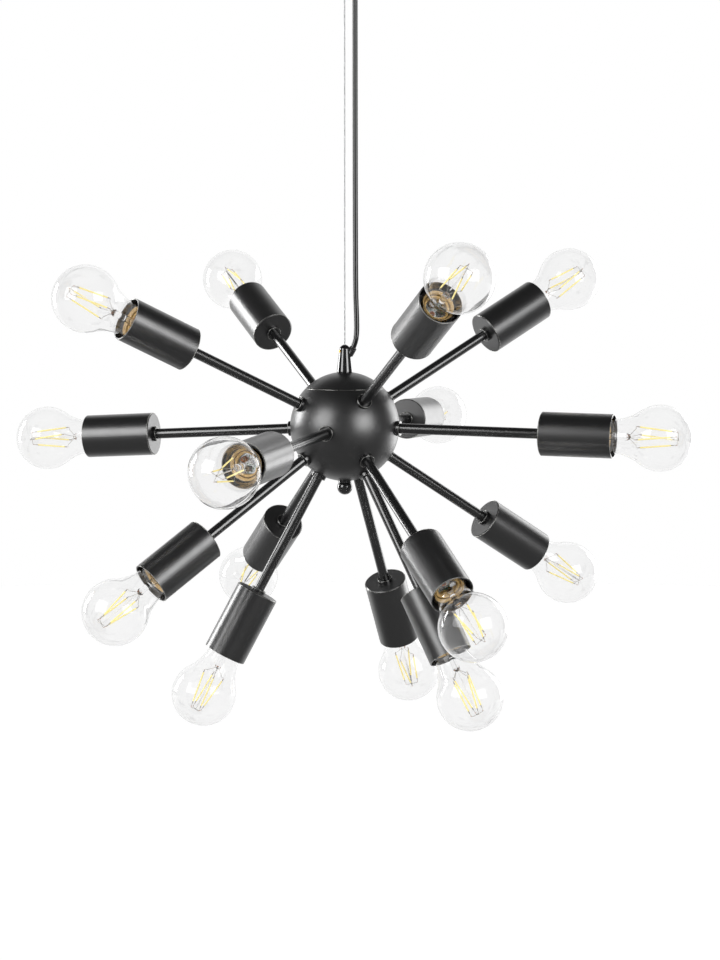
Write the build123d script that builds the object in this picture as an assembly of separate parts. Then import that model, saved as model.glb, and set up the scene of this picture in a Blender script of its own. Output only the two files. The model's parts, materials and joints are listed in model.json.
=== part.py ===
from build123d import *
import math
import os

# A sputnik chandelier: fifteen tubes radiate from a ball that hangs from the ceiling on a steel wire.
# Millimetres, +Z up, origin on the ceiling at the middle of the canopy, viewer on the -Y side.

FIT = 0.05                  # clearance where one piece seats in another
OVERCUT = 1.0               # how far a drill or cutter runs past the face it opens

# Hub: a hollow pressed ball whose top lifts off as a cap.
HUB_DROP = 440.0            # ceiling to ball centre
HUB_RADIUS = 50.8           # a four-inch ball
HUB_WALL = 1.5
CAP_SEAM = 35.4             # seam height above the ball centre
SEAM_DEPTH = 0.6
SEAM_WIDTH = 0.9
CAP_SKIRT_DEPTH = 2.0
CAP_SKIRT_WALL = 1.2
CAP_FLAT_DEPTH = 0.5        # spot face under the grip washer

ARM_REACH = 174.0           # ball centre to the back of a cup
MIDDLE_ARM_REACH = 187.0

# Lamps: elevation, azimuth of the first, reach from ball centre to cup back, and each arm's own set.
# Azimuth 0 points at the viewer and grows to the viewer's right. A set is (sideways, up) in degrees.
RINGS = {
    "upper": (28.0, 27.0, ARM_REACH, ((-4, 1), (1, 1), (1, 1), (1, -3))),
    "middle": (-2.0, 73.0, MIDDLE_ARM_REACH, ((0, 1), (-2, 1), (3, -1), (-2, -2))),
    "lower": (-34.0, 27.0, ARM_REACH, ((1, 0), (-2, 2), (-1, -2), (3, 0))),
    "bottom": (-60.0, 38.0, ARM_REACH, ((9, 3), (-6, -2), (-2, -2))),
}

# Arms: thin tubes locked by a nut inside the ball and dressed with a collar ring at each end.
ARM_RADIUS = 4.75
ARM_WALL = 1.0
ARM_STUB = 7.0              # length inside the ball's outer surface
ARM_TAIL = 9.0              # length inside the cup
COLLAR_RADIUS = 7.0
COLLAR_LENGTH = 3.0
COLLAR_CHAMFER = 0.6
NUT_ACROSS_FLATS = 13.0
NUT_THICKNESS = 3.0

# Lamp cups, each a plain turned sleeve round a lampholder.
CUP_RADIUS = 20.0
CUP_WALL = 1.2
CUP_LENGTH = 66.0
CUP_BACK = 1.5
CUP_CHAMFER = 0.9
HOLDER_RADIUS = 17.0
HOLDER_NECK_RADIUS = 11.5
HOLDER_NECK_LENGTH = 14.0
HOLDER_FRONT = 10.0         # mouth of the cup to the front of the lampholder
HOLDER_BORE_DEPTH = 27.0
HOLDER_TUBE_DEPTH = 9.0     # how far the arm screws in, past the cup back
SHELL_THICKNESS = 0.4
SHELL_SETBACK = 1.0
CONTACT_RADIUS = 2.5
CONTACT_GAP = 0.4

# Bulbs: clear A60 globes on E27 caps, measured from the centre contact.
GLOBE_RADIUS = 30.0
BULB_LENGTH = 106.0
GLASS_THICKNESS = 0.8
NECK_RADIUS = 15.5
NECK_BELOW_GLOBE = 44.0
BULB_CAP_RADIUS = 13.1
BULB_CAP_TOP = 26.3
BULB_CAP_FOOT = 3.2
BULB_CAP_WALL = 0.4
GLASS_IN_CAP = 3.0
TIP_RADIUS = 3.6
TIP_THICKNESS = 1.0
BEAD_FOOT_RADIUS = 4.5
BEAD_RADIUS = 9.0
BULB_CAP_STEP = 2.0
SHOULDER_BULGE = 0.4
STEM_CLEARANCE = 0.2
STEM_RADIUS = 3.4
ROD_RADIUS = 0.9
FILAMENTS = 4
FILAMENT_SIZE = 1.5
FILAMENT_FOOT_RADIUS = 9.8
FILAMENT_HEAD_RADIUS = 5.2
FILAMENT_FOOT_DROP = 20.0   # globe centre down to the filaments' feet
FILAMENT_HEAD_RISE = 12.5   # globe centre up to their heads
FILAMENT_TWIST = -25.0      # degrees round the axis from foot to head
STEM_BELOW_FEET = 7.0
LEAD_SIZE = 0.9
SOCKET_CLEARANCE = 0.35
BULB_SEAT = 3.0             # lampholder floor to the bulb's contact

# Cord grip on top of the ball, with its threaded nipple, side bush and set screw.
GRIP_BASE_RADIUS = 7.5
GRIP_SHOULDER_RADIUS = 5.1
GRIP_SHOULDER = 19.5
GRIP_HEIGHT = 25.0
WASHER_RADIUS = 7.3
WASHER_THICKNESS = 0.8
TURN_GAP = 0.1              # washer to the cap it turns on
NIPPLE_RADIUS = 5.0
NIPPLE_WALL = 1.4
NIPPLE_IN_GRIP = 8.0
NIPPLE_BELOW_NUT = 1.0
NIPPLE_CLEARANCE = 0.05
NIPPLE_NUT_FLATS = 16.0
NIPPLE_NUT_THICKNESS = 5.0
NUT_SEAT_GAP = 0.3
BUSH_TILT = 26.0
BUSH_MOUTH = (7.9, 21.8)    # from the grip's axis, and above its base
BUSH_RADIUS = 3.5           # at its mouth
BUSH_FOOT_RADIUS = 3.05
BUSH_LENGTH = 8.0
SET_SCREW_RADIUS = 1.25
SET_SCREW_HEIGHT = 18.8
SET_SCREW_TURN = 30.0       # degrees from the viewer's left towards the viewer
SET_SCREW_PROUD = 0.7
WIRE_IN_GRIP = 9.0

# Finial, a small ball on a disc with a stud and nut.
FINIAL_RADIUS = 7.1
FINIAL_DROP = 12.9          # bottom of the hub to the bottom of the finial
FINIAL_DISC_RADIUS = 6.2
FINIAL_DISC_THICKNESS = 1.5
FINIAL_STUD_RADIUS = 3.0
FINIAL_STUD_LENGTH = 8.0
FINIAL_NUT_FLATS = 10.0
FINIAL_NUT_THICKNESS = 2.5

# Suspension wire and power cord.
WIRE_RADIUS = 0.65
WIRE_BALL_RADIUS = 2.0
CORD_RADIUS = 2.6
CORD_OFFSET = 9.6           # cord beside the wire at the ceiling
CORD_IN_BUSH = 5.0
CORD_OUT_OF_BUSH = 4.0
# Right of the axis, above the ball centre.
CORD_BENDS = ((11.2, 86.5), (11.0, 103.0), (9.7, 136.0))

# Ceiling fitting: a canopy held by two side screws on a slotted strap.
CANOPY_RADIUS = 50.0
CANOPY_HEIGHT = 28.0
CANOPY_WALL = 1.2
CANOPY_EDGE = 6.0
SIDE_SCREW_DROP = 9.0
SIDE_SCREW_RADIUS = 1.95
SIDE_SCREW_LENGTH = 9.0
SIDE_SCREW_HEAD_RADIUS = 3.5
SIDE_SCREW_HEAD = 2.2
SIDE_SCREW_SEAT = 0.15      # flat head on the round canopy
SCREW_CLEARANCE = 0.1
STRAP_WIDTH = 18.0
STRAP_THICKNESS = 1.6
STRAP_TAB = 14.0
STRAP_WALL_GAP = 0.15
SLOT_SPACING = 60.0
SLOT_LENGTH = 12.0
SLOT_WIDTH = 4.5
TERMINAL_SIZE = (22.0, 13.0, 10.0)
TERMINAL_POLES = 3
TERMINAL_HOLE_RADIUS = 1.6
PIVOT_DROP = 33.0           # ceiling to the centre of the wire's end ball
SWING = 10.0                # degrees each way that the flared mouths leave room for
SWING_CLEARANCE = 0.25
WIRE_GRIP_RADIUS = 4.2
WIRE_GRIP_LENGTH = 12.0
WIRE_GRIP_CHAMFER = 0.8
POCKET_CLEARANCE = 0.3
THROAT_RADIUS = 1.7
THROAT_DROP = 1.8
GRIP_STUD_RADIUS = 2.5
GRIP_STUD_LENGTH = 7.8
GRIP_STUD_HEAD_RADIUS = 2.95
GRIP_STUD_HEAD = 2.2
GRIP_NUT_FLATS = 8.0
GRIP_NUT_THICKNESS = 4.0
CORD_BUSH_RADIUS = 4.7
CORD_BUSH_LENGTH = 9.0
CORD_BUSH_NECK_WALL = 0.45
CORD_BUSH_LIP = 0.35
CORD_BUSH_LIP_HEIGHT = 0.8
CORD_END_DROP = 29.0

HUB_INNER = HUB_RADIUS - HUB_WALL
HUB_CENTRE = (0.0, 0.0, -HUB_DROP)
MOUTH = CUP_LENGTH
HOLDER_TOP = MOUTH - HOLDER_FRONT
HOLDER_FLOOR = HOLDER_TOP - HOLDER_BORE_DEPTH
BULB_TIP = HOLDER_FLOOR + BULB_SEAT
SHELL_BORE = BULB_CAP_RADIUS + SOCKET_CLEARANCE
HOLDER_BORE = SHELL_BORE + SHELL_THICKNESS + FIT
GRIP_BASE = HUB_RADIUS - CAP_FLAT_DEPTH + TURN_GAP + WASHER_THICKNESS
FLARE = math.tan(math.radians(SWING))


def turned(*corners):
    """A solid turned about Z from (radius, height) corners."""
    outline = Polyline(*[(radius, 0, height) for radius, height in corners], close=True)
    return revolve(make_face(outline), Axis.Z).solid()


def ring(outer, inner, low, high):
    """A plain ring about Z."""
    return turned((inner, low), (outer, low), (outer, high), (inner, high))


def rod(radius, low, high):
    """A plain rod about Z."""
    return turned((0, low), (radius, low), (radius, high), (0, high))


def collar(low, high, bevelled):
    """A ring that fits an arm, its outer rim bevelled at the height given."""
    inner = ARM_RADIUS + FIT
    rim = COLLAR_RADIUS - COLLAR_CHAMFER
    if bevelled == high:
        corners = [(COLLAR_RADIUS, low), (COLLAR_RADIUS, high - COLLAR_CHAMFER), (rim, high)]
    else:
        corners = [(rim, low), (COLLAR_RADIUS, low + COLLAR_CHAMFER), (COLLAR_RADIUS, high)]
    return turned((inner, low), *corners, (inner, high))


def bar(start, end, size):
    """A square bar from one point to another."""
    along = Vector(*end) - Vector(*start)
    return extrude(Plane(origin=start, z_dir=along) * Rectangle(size, size), along.length)


def hex_nut(flats, bore, low, thickness):
    """A hexagon nut about Z with its lower face at low."""
    hexagon = RegularPolygon(radius=flats / 2, side_count=6, major_radius=False)
    blank = extrude(Pos(0, 0, low) * (hexagon - Circle(bore)), thickness)
    return blank.solid()


def sphere_height(radius, off_axis):
    """Height of a sphere's surface over its centre at a distance from the axis."""
    return math.sqrt(radius**2 - off_axis**2)


def nut_seat(flats, thickness, gap):
    """Lowest face of a nut pulled up inside the ball, measured from the ball centre."""
    corner = flats / math.sqrt(3)
    return sphere_height(HUB_INNER, corner) - gap - thickness


def lamp_places():
    """Every lamp's name, its frame at the ball centre with Z along the arm, and its reach."""
    for name, (elevation, first, reach, sets) in RINGS.items():
        for number, (sideways, up) in enumerate(sets):
            turn = math.radians(first + number * 360 / len(sets) + sideways)
            rise = math.radians(elevation + up)
            along = (math.sin(turn) * math.cos(rise), -math.cos(turn) * math.cos(rise), math.sin(rise))
            level = (math.cos(turn), math.sin(turn), 0)
            frame = Plane(origin=HUB_CENTRE, x_dir=level, z_dir=along).location
            yield f"{name}_{number + 1}", frame, reach


def save(node, *solids):
    """Write one node; several solids stay separate in it."""
    shape = solids[0] if len(solids) == 1 else Compound(children=list(solids), label=node)
    export_step(shape, f"parts/{node}.step")


def arm_tube(reach):
    """A tube from inside the ball to inside the cup."""
    return ring(ARM_RADIUS, ARM_RADIUS - ARM_WALL, HUB_RADIUS - ARM_STUB, reach + ARM_TAIL)


def hub_collar():
    """The ring where an arm leaves the ball, hollowed to sit on it."""
    top = HUB_RADIUS + COLLAR_LENGTH
    blank = collar(HUB_INNER, top, top)
    return (blank - Sphere(HUB_RADIUS + FIT)).solid()


def cup_collar():
    """The ring where an arm enters a cup; zero is the back of the cup."""
    return collar(-COLLAR_LENGTH, 0, -COLLAR_LENGTH)


def arm_nut():
    """The lock nut on an arm's inner end."""
    low = nut_seat(NUT_ACROSS_FLATS, NUT_THICKNESS, FIT)
    return hex_nut(NUT_ACROSS_FLATS, ARM_RADIUS + FIT, low, NUT_THICKNESS)


def lamp_cup():
    """A sleeve with a closed, chamfered back and an open mouth."""
    hole = ARM_RADIUS + FIT
    inside = CUP_RADIUS - CUP_WALL
    return turned(
        (hole, 0),
        (CUP_RADIUS - CUP_CHAMFER, 0),
        (CUP_RADIUS, CUP_CHAMFER),
        (CUP_RADIUS, MOUTH),
        (inside, MOUTH),
        (inside, CUP_BACK),
        (hole, CUP_BACK),
    )


def lampholder():
    """The insulating body that screws onto the arm and takes the metal shell."""
    low = CUP_BACK + FIT
    tube = ARM_RADIUS + FIT
    tube_end = CUP_BACK + HOLDER_TUBE_DEPTH
    return turned(
        (tube, low),
        (HOLDER_NECK_RADIUS, low),
        (HOLDER_NECK_RADIUS, low + HOLDER_NECK_LENGTH),
        (HOLDER_RADIUS, low + HOLDER_NECK_LENGTH),
        (HOLDER_RADIUS, HOLDER_TOP),
        (HOLDER_BORE, HOLDER_TOP),
        (HOLDER_BORE, HOLDER_FLOOR),
        (0, HOLDER_FLOOR),
        (0, tube_end),
        (tube, tube_end),
    )


def screw_shell():
    """The metal sleeve that a bulb's cap goes into."""
    return ring(SHELL_BORE + SHELL_THICKNESS, SHELL_BORE, HOLDER_FLOOR, HOLDER_TOP - SHELL_SETBACK)


def centre_contact():
    """The button that a bulb's tip presses on."""
    return rod(CONTACT_RADIUS, HOLDER_FLOOR, BULB_TIP - CONTACT_GAP)


def bulb_outline(inset):
    """The globe, neck and shoulder curve of a bulb, moved inwards by inset."""
    centre = BULB_LENGTH - GLOBE_RADIUS
    neck = centre - NECK_BELOW_GLOBE
    spread = GLOBE_RADIUS - NECK_RADIUS
    sweep_in = (NECK_RADIUS**2 + NECK_BELOW_GLOBE**2 - GLOBE_RADIUS**2) / (2 * spread)
    side = math.atan2(NECK_BELOW_GLOBE, NECK_RADIUS + sweep_in)
    globe = GLOBE_RADIUS - inset
    inner_sweep = sweep_in + inset
    cap_inside = BULB_CAP_RADIUS - BULB_CAP_WALL - FIT - inset

    def on_globe(angle):
        return (globe * math.cos(angle), 0, centre + globe * math.sin(angle))

    def on_neck(angle):
        reach = NECK_RADIUS + sweep_in - inner_sweep * math.cos(angle)
        return (reach, 0, neck + inner_sweep * math.sin(angle))

    shoulder = (cap_inside, 0, BULB_CAP_TOP)
    foot = (cap_inside, 0, BULB_CAP_TOP - GLASS_IN_CAP)
    bulge = ((shoulder[0] + on_neck(0)[0]) / 2 + SHOULDER_BULGE, 0, (BULB_CAP_TOP + neck) / 2)
    crown = ThreePointArc(on_globe(math.pi / 2), on_globe(math.pi / 4), on_globe(-side))
    waist = ThreePointArc(on_globe(-side), on_neck(side / 2), on_neck(0))
    tuck = ThreePointArc(on_neck(0), bulge, shoulder)
    return [crown, waist, tuck, Line(shoulder, foot)]


def bulb_glass():
    """The blown envelope, open where it is cemented into the cap."""
    outside = bulb_outline(0)
    inside = bulb_outline(GLASS_THICKNESS)
    crown_line = Line(outside[0] @ 0, inside[0] @ 0)
    foot_line = Line(outside[-1] @ 1, inside[-1] @ 1)
    return revolve(make_face([*outside, *inside, crown_line, foot_line]), Axis.Z).solid()


def bulb_cap():
    """The metal screw cap as a thin open shell."""
    inner = BULB_CAP_RADIUS - BULB_CAP_WALL
    step = BULB_CAP_FOOT + BULB_CAP_STEP
    return turned(
        (BEAD_RADIUS, BULB_CAP_FOOT),
        (BEAD_RADIUS + BULB_CAP_WALL, BULB_CAP_FOOT),
        (BULB_CAP_RADIUS, step),
        (BULB_CAP_RADIUS, BULB_CAP_TOP),
        (inner, BULB_CAP_TOP),
        (inner, step + BULB_CAP_WALL),
        (BEAD_RADIUS, BULB_CAP_FOOT + BULB_CAP_WALL),
    )


def bulb_insulator():
    """The glass bead that parts the cap from the centre contact."""
    return turned(
        (0, TIP_THICKNESS),
        (BEAD_FOOT_RADIUS, TIP_THICKNESS),
        (BEAD_RADIUS - FIT, BULB_CAP_FOOT),
        (BEAD_RADIUS - FIT, BULB_CAP_FOOT + BULB_CAP_WALL),
        (0, BULB_CAP_FOOT + BULB_CAP_WALL),
    )


def bulb_tip():
    """The centre contact."""
    return rod(TIP_RADIUS, 0, TIP_THICKNESS)


def bulb_works():
    """Flared stem, support rod, lead wires and the slanting filaments, welded as one."""
    flare = BULB_CAP_RADIUS - BULB_CAP_WALL - GLASS_THICKNESS - STEM_CLEARANCE
    centre = BULB_LENGTH - GLOBE_RADIUS
    foot_height = centre - FILAMENT_FOOT_DROP
    head_height = centre + FILAMENT_HEAD_RISE
    stem_top = foot_height - STEM_BELOW_FEET
    stem_foot = BULB_CAP_TOP - GLASS_IN_CAP
    stem = turned(
        (0, stem_foot),
        (flare, stem_foot),
        (STEM_RADIUS, stem_foot + flare),
        (STEM_RADIUS, stem_top),
        (ROD_RADIUS, stem_top),
        (ROD_RADIUS, head_height + LEAD_SIZE),
        (0, head_height + LEAD_SIZE),
    )
    twist = math.radians(FILAMENT_TWIST)
    foot = (FILAMENT_FOOT_RADIUS, 0, foot_height)
    head = (FILAMENT_HEAD_RADIUS * math.cos(twist), FILAMENT_HEAD_RADIUS * math.sin(twist), head_height)
    foot_lead = bar((0, 0, stem_top - LEAD_SIZE), foot, LEAD_SIZE)
    head_lead = bar((0, 0, head_height), head, LEAD_SIZE)
    branch = bar(foot, head, FILAMENT_SIZE) + foot_lead + head_lead
    branches = [Rot(0, 0, 360 / FILAMENTS * turn) * branch for turn in range(FILAMENTS)]
    return (stem + branches).solid()


def seam_groove():
    """The cutter that leaves a fine V line, square to the ball's surface, where the cap meets it."""
    edge = sphere_height(HUB_RADIUS, CAP_SEAM)
    slope = math.atan2(CAP_SEAM, edge)
    lip_radius = edge + SEAM_DEPTH * math.cos(slope)
    lip_height = CAP_SEAM + SEAM_DEPTH * math.sin(slope)
    across = (SEAM_WIDTH * math.sin(slope), SEAM_WIDTH * math.cos(slope))
    return turned(
        (edge - SEAM_DEPTH, CAP_SEAM),
        (lip_radius + across[0], lip_height - across[1]),
        (lip_radius - across[0], lip_height + across[1]),
    )


def hub_halves():
    """The ball with its fifteen radial holes, and the cap that closes it."""
    ball = Sphere(HUB_RADIUS) - Sphere(HUB_INNER) - seam_groove()
    above = Pos(0, 0, CAP_SEAM + HUB_RADIUS) * Box(3 * HUB_RADIUS, 3 * HUB_RADIUS, 2 * HUB_RADIUS)
    lower = ball - above
    cap = ball & above
    to_centre = Pos(0, 0, HUB_DROP)
    drill = rod(ARM_RADIUS + FIT, HUB_INNER - HUB_WALL, HUB_RADIUS + HUB_WALL)
    holes = [to_centre * frame * drill for _, frame, _ in lamp_places()]
    stud_hole = rod(FINIAL_STUD_RADIUS + FIT, -HUB_RADIUS - OVERCUT, HUB_WALL - HUB_RADIUS + OVERCUT)
    lower = lower - holes - stud_hole
    skirt_radius = sphere_height(HUB_INNER, CAP_SEAM) - FIT
    skirt = ring(skirt_radius, skirt_radius - CAP_SKIRT_WALL, CAP_SEAM - CAP_SKIRT_DEPTH, CAP_SEAM + HUB_WALL)
    nipple_hole = rod(NIPPLE_RADIUS + NIPPLE_CLEARANCE, HUB_INNER - 2 * HUB_WALL, HUB_RADIUS + OVERCUT)
    flat = rod(HUB_RADIUS / 2, HUB_RADIUS - CAP_FLAT_DEPTH, HUB_RADIUS + OVERCUT)
    cap = cap + skirt - nipple_hole - flat
    return lower.solid(), cap.solid()


def hub_finial():
    """A ball on a disc with its stud through the bottom of the hub, and the nut inside."""
    centre = FINIAL_RADIUS - HUB_RADIUS - FINIAL_DROP
    disc = rod(FINIAL_DISC_RADIUS, -HUB_RADIUS - FINIAL_DISC_THICKNESS, -HUB_INNER)
    disc = disc - Sphere(HUB_RADIUS + FIT)
    stud = rod(FINIAL_STUD_RADIUS, centre, FINIAL_STUD_LENGTH - HUB_RADIUS)
    waist = rod(FINIAL_DISC_RADIUS, -HUB_RADIUS - FINIAL_DISC_THICKNESS, 0)
    ball = Pos(0, 0, centre) * Sphere(FINIAL_RADIUS) - waist
    seat = nut_seat(FINIAL_NUT_FLATS, FINIAL_NUT_THICKNESS, FIT)
    low = -seat - FINIAL_NUT_THICKNESS
    nut = hex_nut(FINIAL_NUT_FLATS, FINIAL_STUD_RADIUS + FIT, low, FINIAL_NUT_THICKNESS)
    return (ball + disc + stud).solid(), nut


def nipple_and_nut():
    """The hollow threaded nipple that carries the ball, with the nut under the cap."""
    nut_low = nut_seat(NIPPLE_NUT_FLATS, NIPPLE_NUT_THICKNESS, NUT_SEAT_GAP)
    nut = hex_nut(NIPPLE_NUT_FLATS, NIPPLE_RADIUS + FIT, nut_low, NIPPLE_NUT_THICKNESS)
    top = GRIP_BASE + NIPPLE_IN_GRIP
    return ring(NIPPLE_RADIUS, NIPPLE_RADIUS - NIPPLE_WALL, nut_low - NIPPLE_BELOW_NUT, top), nut


def bush_frame():
    """The grip's side bush frame: origin at the mouth, Z outwards along the cord."""
    right, up = BUSH_MOUTH
    tilt = math.radians(BUSH_TILT)
    along = (math.sin(tilt), 0, math.cos(tilt))
    return Plane(origin=(right, 0, GRIP_BASE + up), x_dir=(0, 1, 0), z_dir=along)


def cord_grip():
    """The tapered grip with bores for nipple, wire, side bush and set screw."""
    top = GRIP_BASE + GRIP_HEIGHT
    shoulder = GRIP_BASE + GRIP_SHOULDER
    dome = math.pi / 5
    knee = (
        GRIP_SHOULDER_RADIUS * math.cos(dome),
        0,
        shoulder + (top - shoulder) * math.sin(dome),
    )
    outline = [
        Line((0, 0, GRIP_BASE), (GRIP_BASE_RADIUS, 0, GRIP_BASE)),
        Line((GRIP_BASE_RADIUS, 0, GRIP_BASE), (GRIP_SHOULDER_RADIUS, 0, shoulder)),
        ThreePointArc((GRIP_SHOULDER_RADIUS, 0, shoulder), knee, (0, 0, top)),
        Line((0, 0, top), (0, 0, GRIP_BASE)),
    ]
    body = revolve(make_face(outline), Axis.Z)
    nipple_bore = rod(NIPPLE_RADIUS + NIPPLE_CLEARANCE, GRIP_BASE - OVERCUT, GRIP_BASE + NIPPLE_IN_GRIP)
    wire_bore = rod(WIRE_RADIUS + FIT, top - WIRE_IN_GRIP, top + OVERCUT)
    bush_bore = bush_frame().location * turned(
        (0, -BUSH_LENGTH),
        (BUSH_FOOT_RADIUS + FIT, -BUSH_LENGTH),
        (BUSH_RADIUS + FIT, 0),
        (BUSH_RADIUS + FIT, GRIP_HEIGHT),
        (0, GRIP_HEIGHT),
    )
    screw_bore = set_screw_location() * rod(SET_SCREW_RADIUS + FIT, -GRIP_BASE_RADIUS, OVERCUT)
    return (body - nipple_bore - wire_bore - bush_bore - screw_bore).solid()


def set_screw_reach():
    """The grip's axis to the set screw's outer end."""
    taper = (GRIP_BASE_RADIUS - GRIP_SHOULDER_RADIUS) / GRIP_SHOULDER
    return GRIP_BASE_RADIUS - taper * SET_SCREW_HEIGHT + SET_SCREW_PROUD


def set_screw_location():
    """The set screw's frame: origin at its outer end, Z outwards."""
    turn = math.radians(SET_SCREW_TURN)
    out = Vector(-math.cos(turn), -math.sin(turn), 0)
    origin = out * set_screw_reach() + Vector(0, 0, GRIP_BASE + SET_SCREW_HEIGHT)
    return Plane(origin=origin, x_dir=(0, 0, 1), z_dir=out).location


def grip_fittings():
    """The side bush, the set screw and the washer that the ball turns under."""
    bush = bush_frame().location * turned(
        (CORD_RADIUS + FIT, -BUSH_LENGTH),
        (BUSH_FOOT_RADIUS, -BUSH_LENGTH),
        (BUSH_RADIUS, 0),
        (CORD_RADIUS + FIT, 0),
    )
    length = set_screw_reach() - WIRE_RADIUS - FIT
    screw = set_screw_location() * rod(SET_SCREW_RADIUS, -length, 0)
    washer = ring(
        WASHER_RADIUS,
        NIPPLE_RADIUS + NIPPLE_CLEARANCE,
        GRIP_BASE - WASHER_THICKNESS,
        GRIP_BASE,
    )
    return bush, screw, washer


def suspension_wire():
    """A straight wire with the crimped ball that it hangs and swings by."""
    foot = GRIP_BASE + GRIP_HEIGHT - WIRE_IN_GRIP - HUB_DROP
    ball = Pos(0, 0, -PIVOT_DROP) * Sphere(WIRE_BALL_RADIUS)
    return (rod(WIRE_RADIUS, foot, -PIVOT_DROP) + ball).solid()


def power_cord():
    """The cord from the grip's side bush up to the canopy bush, as straight runs and tangent arcs."""
    mouth = bush_frame().origin - Vector(0, 0, HUB_DROP)
    along = bush_frame().z_dir
    route = [mouth - along * CORD_IN_BUSH, mouth + along * CORD_OUT_OF_BUSH]
    route += [Vector(right, 0, up - HUB_DROP) for right, up in CORD_BENDS]
    route += [Vector(CORD_OFFSET, 0, -CORD_END_DROP)]
    radii = []
    for before, here, after in zip(route, route[1:], route[2:]):
        turn = math.radians((here - before).get_angle(after - here))
        shorter = min((here - before).length, (after - here).length)
        radii.append(0.45 * shorter / math.tan(turn / 2))
    path = FilletPolyline(*route, radius=radii)
    section = Plane(origin=path @ 0, z_dir=path % 0) * Circle(CORD_RADIUS)
    tube = sweep(section, path=path).solid()
    print("cord radii", [round(radius, 1) for radius in radii], "length", round(path.length, 1))
    print("cord volume", round(tube.volume), "of", round(math.pi * CORD_RADIUS**2 * path.length))
    return tube


def ceiling_canopy():
    """A pressed cup, rim against the ceiling, drilled for wire, cord and side screws."""
    low = -CANOPY_HEIGHT
    blank = turned((0, low), (CANOPY_RADIUS, low), (CANOPY_RADIUS, 0), (0, 0))
    blank = fillet(blank.edges().filter_by(GeomType.CIRCLE).group_by(Axis.Z)[0], CANOPY_EDGE)
    inside = turned(
        (0, low + CANOPY_WALL),
        (CANOPY_RADIUS - CANOPY_WALL, low + CANOPY_WALL),
        (CANOPY_RADIUS - CANOPY_WALL, OVERCUT),
        (0, OVERCUT),
    )
    inside = fillet(inside.edges().filter_by(GeomType.CIRCLE).group_by(Axis.Z)[0], CANOPY_EDGE - CANOPY_WALL)
    stud_hole = rod(GRIP_STUD_RADIUS + SCREW_CLEARANCE, low - OVERCUT, low + CANOPY_WALL + OVERCUT)
    neck = cord_bush_neck() + SCREW_CLEARANCE / 2
    cord_hole = Pos(CORD_OFFSET, 0, 0) * rod(neck, low - OVERCUT, low + CANOPY_WALL + OVERCUT)
    drill = Pos(0, 0, -SIDE_SCREW_DROP) * Rot(0, 90, 0)
    reach = CANOPY_RADIUS + OVERCUT
    side_holes = drill * rod(SIDE_SCREW_RADIUS + SCREW_CLEARANCE, -reach, reach)
    return (blank - inside - stud_hole - cord_hole - side_holes).solid()


def ceiling_strap():
    """The slotted strap screwed to the ceiling, its ends bent down behind the canopy's side screws."""
    room = CANOPY_RADIUS - CANOPY_WALL - STRAP_WALL_GAP
    half = math.sqrt(room**2 - (STRAP_WIDTH / 2) ** 2)
    bar = Pos(0, 0, -STRAP_THICKNESS / 2) * Box(2 * half, STRAP_WIDTH, STRAP_THICKNESS)
    tab = Box(STRAP_THICKNESS, STRAP_WIDTH, STRAP_TAB)
    for side in (-1, 1):
        bar += Pos(side * (half - STRAP_THICKNESS / 2), 0, -STRAP_TAB / 2) * tab
    bends = bar.edges().filter_by(Axis.Y).filter_by(lambda edge: abs(edge.center().Z) < STRAP_THICKNESS / 10)
    bar = fillet(bends, STRAP_THICKNESS)
    slot = extrude(SlotOverall(SLOT_LENGTH, SLOT_WIDTH), 2 * STRAP_THICKNESS, both=True)
    slots = [Pos(side * SLOT_SPACING / 2, 0, 0) * slot for side in (-1, 1)]
    drill = Pos(0, 0, -SIDE_SCREW_DROP) * Rot(0, 90, 0)
    side_holes = drill * rod(SIDE_SCREW_RADIUS + FIT, -CANOPY_RADIUS, CANOPY_RADIUS)
    return (bar - slots - side_holes).solid()


def side_screw():
    """A canopy side screw with a domed head; zero is the canopy's side, Z outwards."""
    shank = rod(SIDE_SCREW_RADIUS, -SIDE_SCREW_LENGTH, SIDE_SCREW_HEAD / 2)
    head = rod(SIDE_SCREW_HEAD_RADIUS, SIDE_SCREW_SEAT, SIDE_SCREW_HEAD)
    head = chamfer(head.edges().group_by(Axis.Z)[-1], SIDE_SCREW_HEAD / 3)
    return (shank + head).solid()


def wire_grip():
    """The turned body that the wire's ball sits in, its stud and the nut inside the canopy."""
    top = -CANOPY_HEIGHT
    low = top - WIRE_GRIP_LENGTH
    throat = -PIVOT_DROP - THROAT_DROP
    pocket = WIRE_BALL_RADIUS + POCKET_CLEARANCE
    mouth = WIRE_RADIUS + (-PIVOT_DROP - low) * FLARE + SWING_CLEARANCE * 2
    counterbore = top - GRIP_STUD_HEAD - 2 * FIT
    head_room = GRIP_STUD_HEAD_RADIUS + FIT
    body = turned(
        (head_room, top),
        (WIRE_GRIP_RADIUS, top),
        (WIRE_GRIP_RADIUS, low + 2 * WIRE_GRIP_CHAMFER),
        (WIRE_GRIP_RADIUS - WIRE_GRIP_CHAMFER, low),
        (mouth, low),
        (THROAT_RADIUS, throat),
        (pocket, -PIVOT_DROP),
        (pocket, counterbore),
        (head_room, counterbore),
    )
    stud = rod(GRIP_STUD_RADIUS, top - GRIP_STUD_HEAD, top + CANOPY_WALL + GRIP_STUD_LENGTH)
    stud = (stud + rod(GRIP_STUD_HEAD_RADIUS, top - GRIP_STUD_HEAD, top)).solid()
    nut = hex_nut(GRIP_NUT_FLATS, GRIP_STUD_RADIUS + FIT, top + CANOPY_WALL, GRIP_NUT_THICKNESS)
    return body, stud, nut


def cord_bush_bore(height):
    """Half-width that the swinging cord needs in the canopy bush at a height."""
    return CORD_RADIUS + abs(height + PIVOT_DROP) * FLARE + SWING_CLEARANCE


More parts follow.
